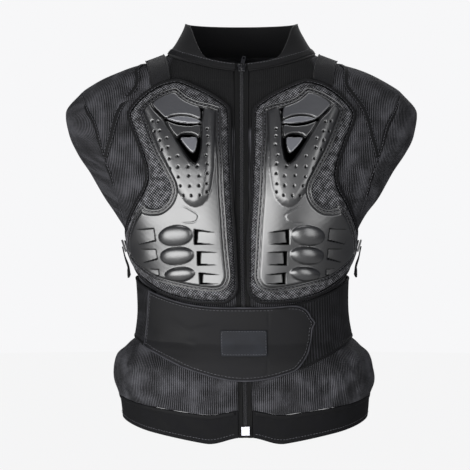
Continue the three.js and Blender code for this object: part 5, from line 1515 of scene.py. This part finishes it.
def shoulder_place(x, y):
    """Angle and height of the body above a place of the plan."""
    low, high = np.full_like(x, level_height(np.array(3.5))), np.full_like(x, level_height(np.array(5.4)))
    for _ in range(30):
        middle = (low + high) / 2
        half, front, back, power = section_at(middle)
        within = (np.abs(x) / half) ** power + (np.abs(y) / np.where(y < 0, front, back)) ** power < 1
        low, high = np.where(within, middle, low), np.where(within, high, middle)
    return np.arctan2(x, -y), (low + high) / 2


def depth_at(x, z, behind):
    half, front, back, power = section_at(z)
    share = 1 - (np.abs(x) / half) ** power
    return (back if behind else -front) * share ** (1 / power)


# Side strap: degrees round, share down the pad, share of the rise to the buckle
SIDE_STRAP_ROUTE = (
    (126, 0.86, 0), (116, 0.83, 0), (106, 0.8, 0), (97, 0.78, 0.22), (90, 0.765, 0.74), (85, 0.755, 1),
)
STRAP_RISE, BUCKLE_TURN, BUCKLE_DOWN, BUCKLE_LIFT, BUCKLE_WALL = 0.0046, 84, 0.745, 0.0103, 0.0026
STRAP_INSET, STRAP_WIDTH, STRAP_BOW, STRAP_LENGTH = 0.095, 0.026, 0.010, 0.2
TAIL_TURN, TAIL_LENGTH, TAIL_WAVE, TAIL_SWING = 5, 0.040, 0.0007, 5


class VEST_OT_straps(bpy.types.Operator):
    """Brushed straps over the shoulders, side straps, their buckles and the hanging tails"""
    bl_idname = "vest.straps"
    bl_label = "Straps and buckles"

    def execute(self, context):
        for side, sign in (("right", -1), ("left", 1)):
            def over_shoulder(flat, sign=sign):
                s, t = flat[:, 0] + 0.5, flat[:, 1] + 0.5
                s = s if sign > 0 else 1 - s
                x = STRAP_INSET + STRAP_WIDTH * s
                front = depth_at(x, -PAD_DROP + LAYER_GAP - s * 0.011, False)
                back = depth_at(x, np.full_like(x, -BACK_PAD_DROP + 0.0018), True)
                bowed = x + STRAP_BOW * np.sin(math.pi * t)
                angle, z = shoulder_place(sign * bowed, front + (back - front) * t)
                edge = np.minimum(s, 1 - s) * STRAP_WIDTH / MM
                hem = 0.45 * smoothstep(edge, 1.6, 1.0) - 0.35 * smoothstep(np.abs(edge - 2.0), 0.5, 0.1)
                fuzz = 0.22 * ripple(s * STRAP_WIDTH, t * 0.15, 0.0012) * smoothstep(edge, 2, 4)
                cloth = np.stack([s * STRAP_WIDTH, t * STRAP_LENGTH], axis=1)
                return on_body(angle, z, PAD_BASE + 1.75 * MM + MM * (hem + fuzz)), cloth

            strap = piece(f"shoulder_strap_{side}_loop", grid(52, 260), over_shoulder,
                          finish_of("Brushed loop"), "webbing", wall=1.7 * MM,
                          replaces=(f"shoulder_strap_{side}",))
            round_rim(strap, 0.5 * MM)

            rows = [(turn, -PAD_DROP - down * PAD_HEIGHT, rise * STRAP_RISE)
                    for turn, down, rise in SIDE_STRAP_ROUTE]
            path, normals = side_path(smooth_rows(rows, 60), sign, PAD_BASE)
            tape(f"side_strap_{side}_webbing", path, normals, flat_section(20 * MM, 1.8 * MM, 0, 4, 16),
                 finish_of("Webbing"), "webbing", replaces=(f"side_strap_{side}",))

            top = -PAD_DROP - BUCKLE_DOWN * PAD_HEIGHT - 3 * MM
            rows = [(BUCKLE_TURN - TAIL_TURN * share, top - TAIL_LENGTH * share,
                     TAIL_WAVE * math.sin(TAIL_SWING * share) ** 2) for share in np.linspace(0, 1, 26)]
            path, normals = side_path(rows, sign, BUCKLE_LIFT + BUCKLE_WALL + 0.34 * MM)
            tape(f"strap_tail_{side}_webbing", path, normals, flat_section(18 * MM, 1.8 * MM, 0, 4, 16),
                 finish_of("Webbing"), "webbing", replaces=(f"strap_tail_{side}",))
            fold_path, fold_normals = path[-8:] + normals[-8:] * 1.5 * MM, normals[-8:]
            tape(f"tail_fold_{side}", fold_path, fold_normals, flat_section(17.4 * MM, 1.2 * MM, 0, 4, 16),
                 finish_of("Webbing"), "webbing")
            dress_node(f"side_buckle_{side}", "Moulded buckle", 0.5 * MM)
        return {"FINISHED"}


def dress_node(name, finish, bevel):
    """Finish and soft edges for a hard piece."""
    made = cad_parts[name]
    made.data.materials.clear()
    made.data.materials.append(finish_of(finish))
    weld = made.modifiers.new("merge", "WELD")
    weld.merge_threshold = 1e-5
    round_rim(made, bevel, 3)
    made.modifiers["rim"].angle_limit = 25 * DEGREE


class VEST_OT_zip(bpy.types.Operator):
    """Zip with ribbed tapes, a coil, and the slider, pull and box"""
    bl_idname = "vest.zip"
    bl_label = "Zip"

    def execute(self, context):
        low = float(row_height(np.array(0.0), np.array(0.0)))
        high = float(row_height(np.array(0.0), np.array(5.0))) + 0.010

        def strip(inner, outer):
            def where(s, t):
                z = low + (high - low) * t
                u = inner + (outer - inner) * s
                return turn_at(u, z), z
            return where

        def tape_lift(s, t, angle, z):
            u = np.abs(girth(angle, z)) / MM
            ribs = 0.55 * MM * np.abs(np.sin(math.pi * (u - 3.14) / 1.95)) ** 0.8
            return np.where(u > 9.2, -0.2 * MM, MESH_WALL - 0.15 * MM + ribs)

        for side, edges in (("right", (-0.0104, -0.0030)), ("left", (0.0030, 0.0104))):
            laid_cloth(f"zip_tape_{side}_webbing", 24, 260, strip(*edges), tape_lift, finish_of("Webbing"),
                       "webbing", wall=1.1 * MM, replaces=(f"zip_tape_{side}",))
        laid_cloth("zip_coil_core", 6, 160, strip(-0.0034, 0.0034),
                   lambda s, t, angle, z: np.full_like(z, 0.35 * MM), finish_of("Webbing"), "plastic",
                   wall=1.0 * MM)

        pitch = context.scene.vest_sizes.tooth_pitch
        heights = np.arange(low + 0.003, high - 0.002, pitch)
        rows = []
        for hand in (-1, 1):
            z = heights + (0 if hand > 0 else pitch / 2)
            angle = turn_at(np.full_like(z, hand * 1.25 * MM), z)
            places, normals = on_body(angle, z, np.full_like(z, 0.75 * MM)), outward(angle, z)
            across = unit(np.cross(normals, [0.0, 0.0, 1.0]))
            along = unit(across + np.cross(normals, across) * 0.22 * hand)
            rows.append(frames_of(places, along * 1.75 * MM, np.cross(normals, along) * 0.52 * MM,
                                  normals * 0.72 * MM))
        tooth = bmesh.new()
        bmesh.ops.create_uvsphere(tooth, u_segments=8, v_segments=4, radius=1.0)
        scattered("zip_coil_teeth", tooth, np.concatenate(rows), finish_of("Coil nylon"),
                  replaces=("zip_coil",))

        dress_node("zip_slider", "Black lacquer", 0.4 * MM)
        dress_node("zip_pull", "Black lacquer", 0.35 * MM)
        dress_node("zip_box", "Worn steel", 0.4 * MM)
        return {"FINISHED"}


class VEST_PT_panel(bpy.types.Panel):
    """Steps that dress the vest, in order"""
    bl_idname = "VEST_PT_panel"
    bl_label = "Armour vest"
    bl_space_type = "VIEW_3D"
    bl_region_type = "UI"
    bl_category = "Vest"

    def draw(self, context):
        layout = self.layout
        for group_of in (context.scene.vest_sizes, context.scene.vest_stage):
            column = layout.column(align=True)
            for name in group_of.__annotations__:
                column.prop(group_of, name)
        for operator in OPERATORS:
            layout.operator(operator.bl_idname)


OPERATORS = (
    VEST_OT_stage, VEST_OT_finishes, VEST_OT_mesh_shell, VEST_OT_collar_and_hem, VEST_OT_bindings,
    VEST_OT_chest_pads, VEST_OT_chest_plates, VEST_OT_back_pad, VEST_OT_belt, VEST_OT_straps, VEST_OT_zip,
)
CLASSES = (VestSizes, VestStage) + OPERATORS + (VEST_PT_panel,)


def register():
    for made in CLASSES:
        bpy.utils.register_class(made)
    bpy.types.Scene.vest_sizes = bpy.props.PointerProperty(type=VestSizes)
    bpy.types.Scene.vest_stage = bpy.props.PointerProperty(type=VestStage)


def unregister():
    del bpy.types.Scene.vest_stage
    del bpy.types.Scene.vest_sizes
    for made in reversed(CLASSES):
        bpy.utils.unregister_class(made)


def main():
    register()
    bpy.ops.vest.stage()
    bpy.ops.vest.finishes()
    bpy.ops.vest.mesh_shell()
    bpy.ops.vest.collar_and_hem()
    bpy.ops.vest.bindings()
    bpy.ops.vest.chest_pads()
    bpy.ops.vest.chest_plates()
    bpy.ops.vest.back_pad()
    bpy.ops.vest.belt()
    bpy.ops.vest.straps()
    bpy.ops.vest.zip()


if __name__ == "__main__":
    main()
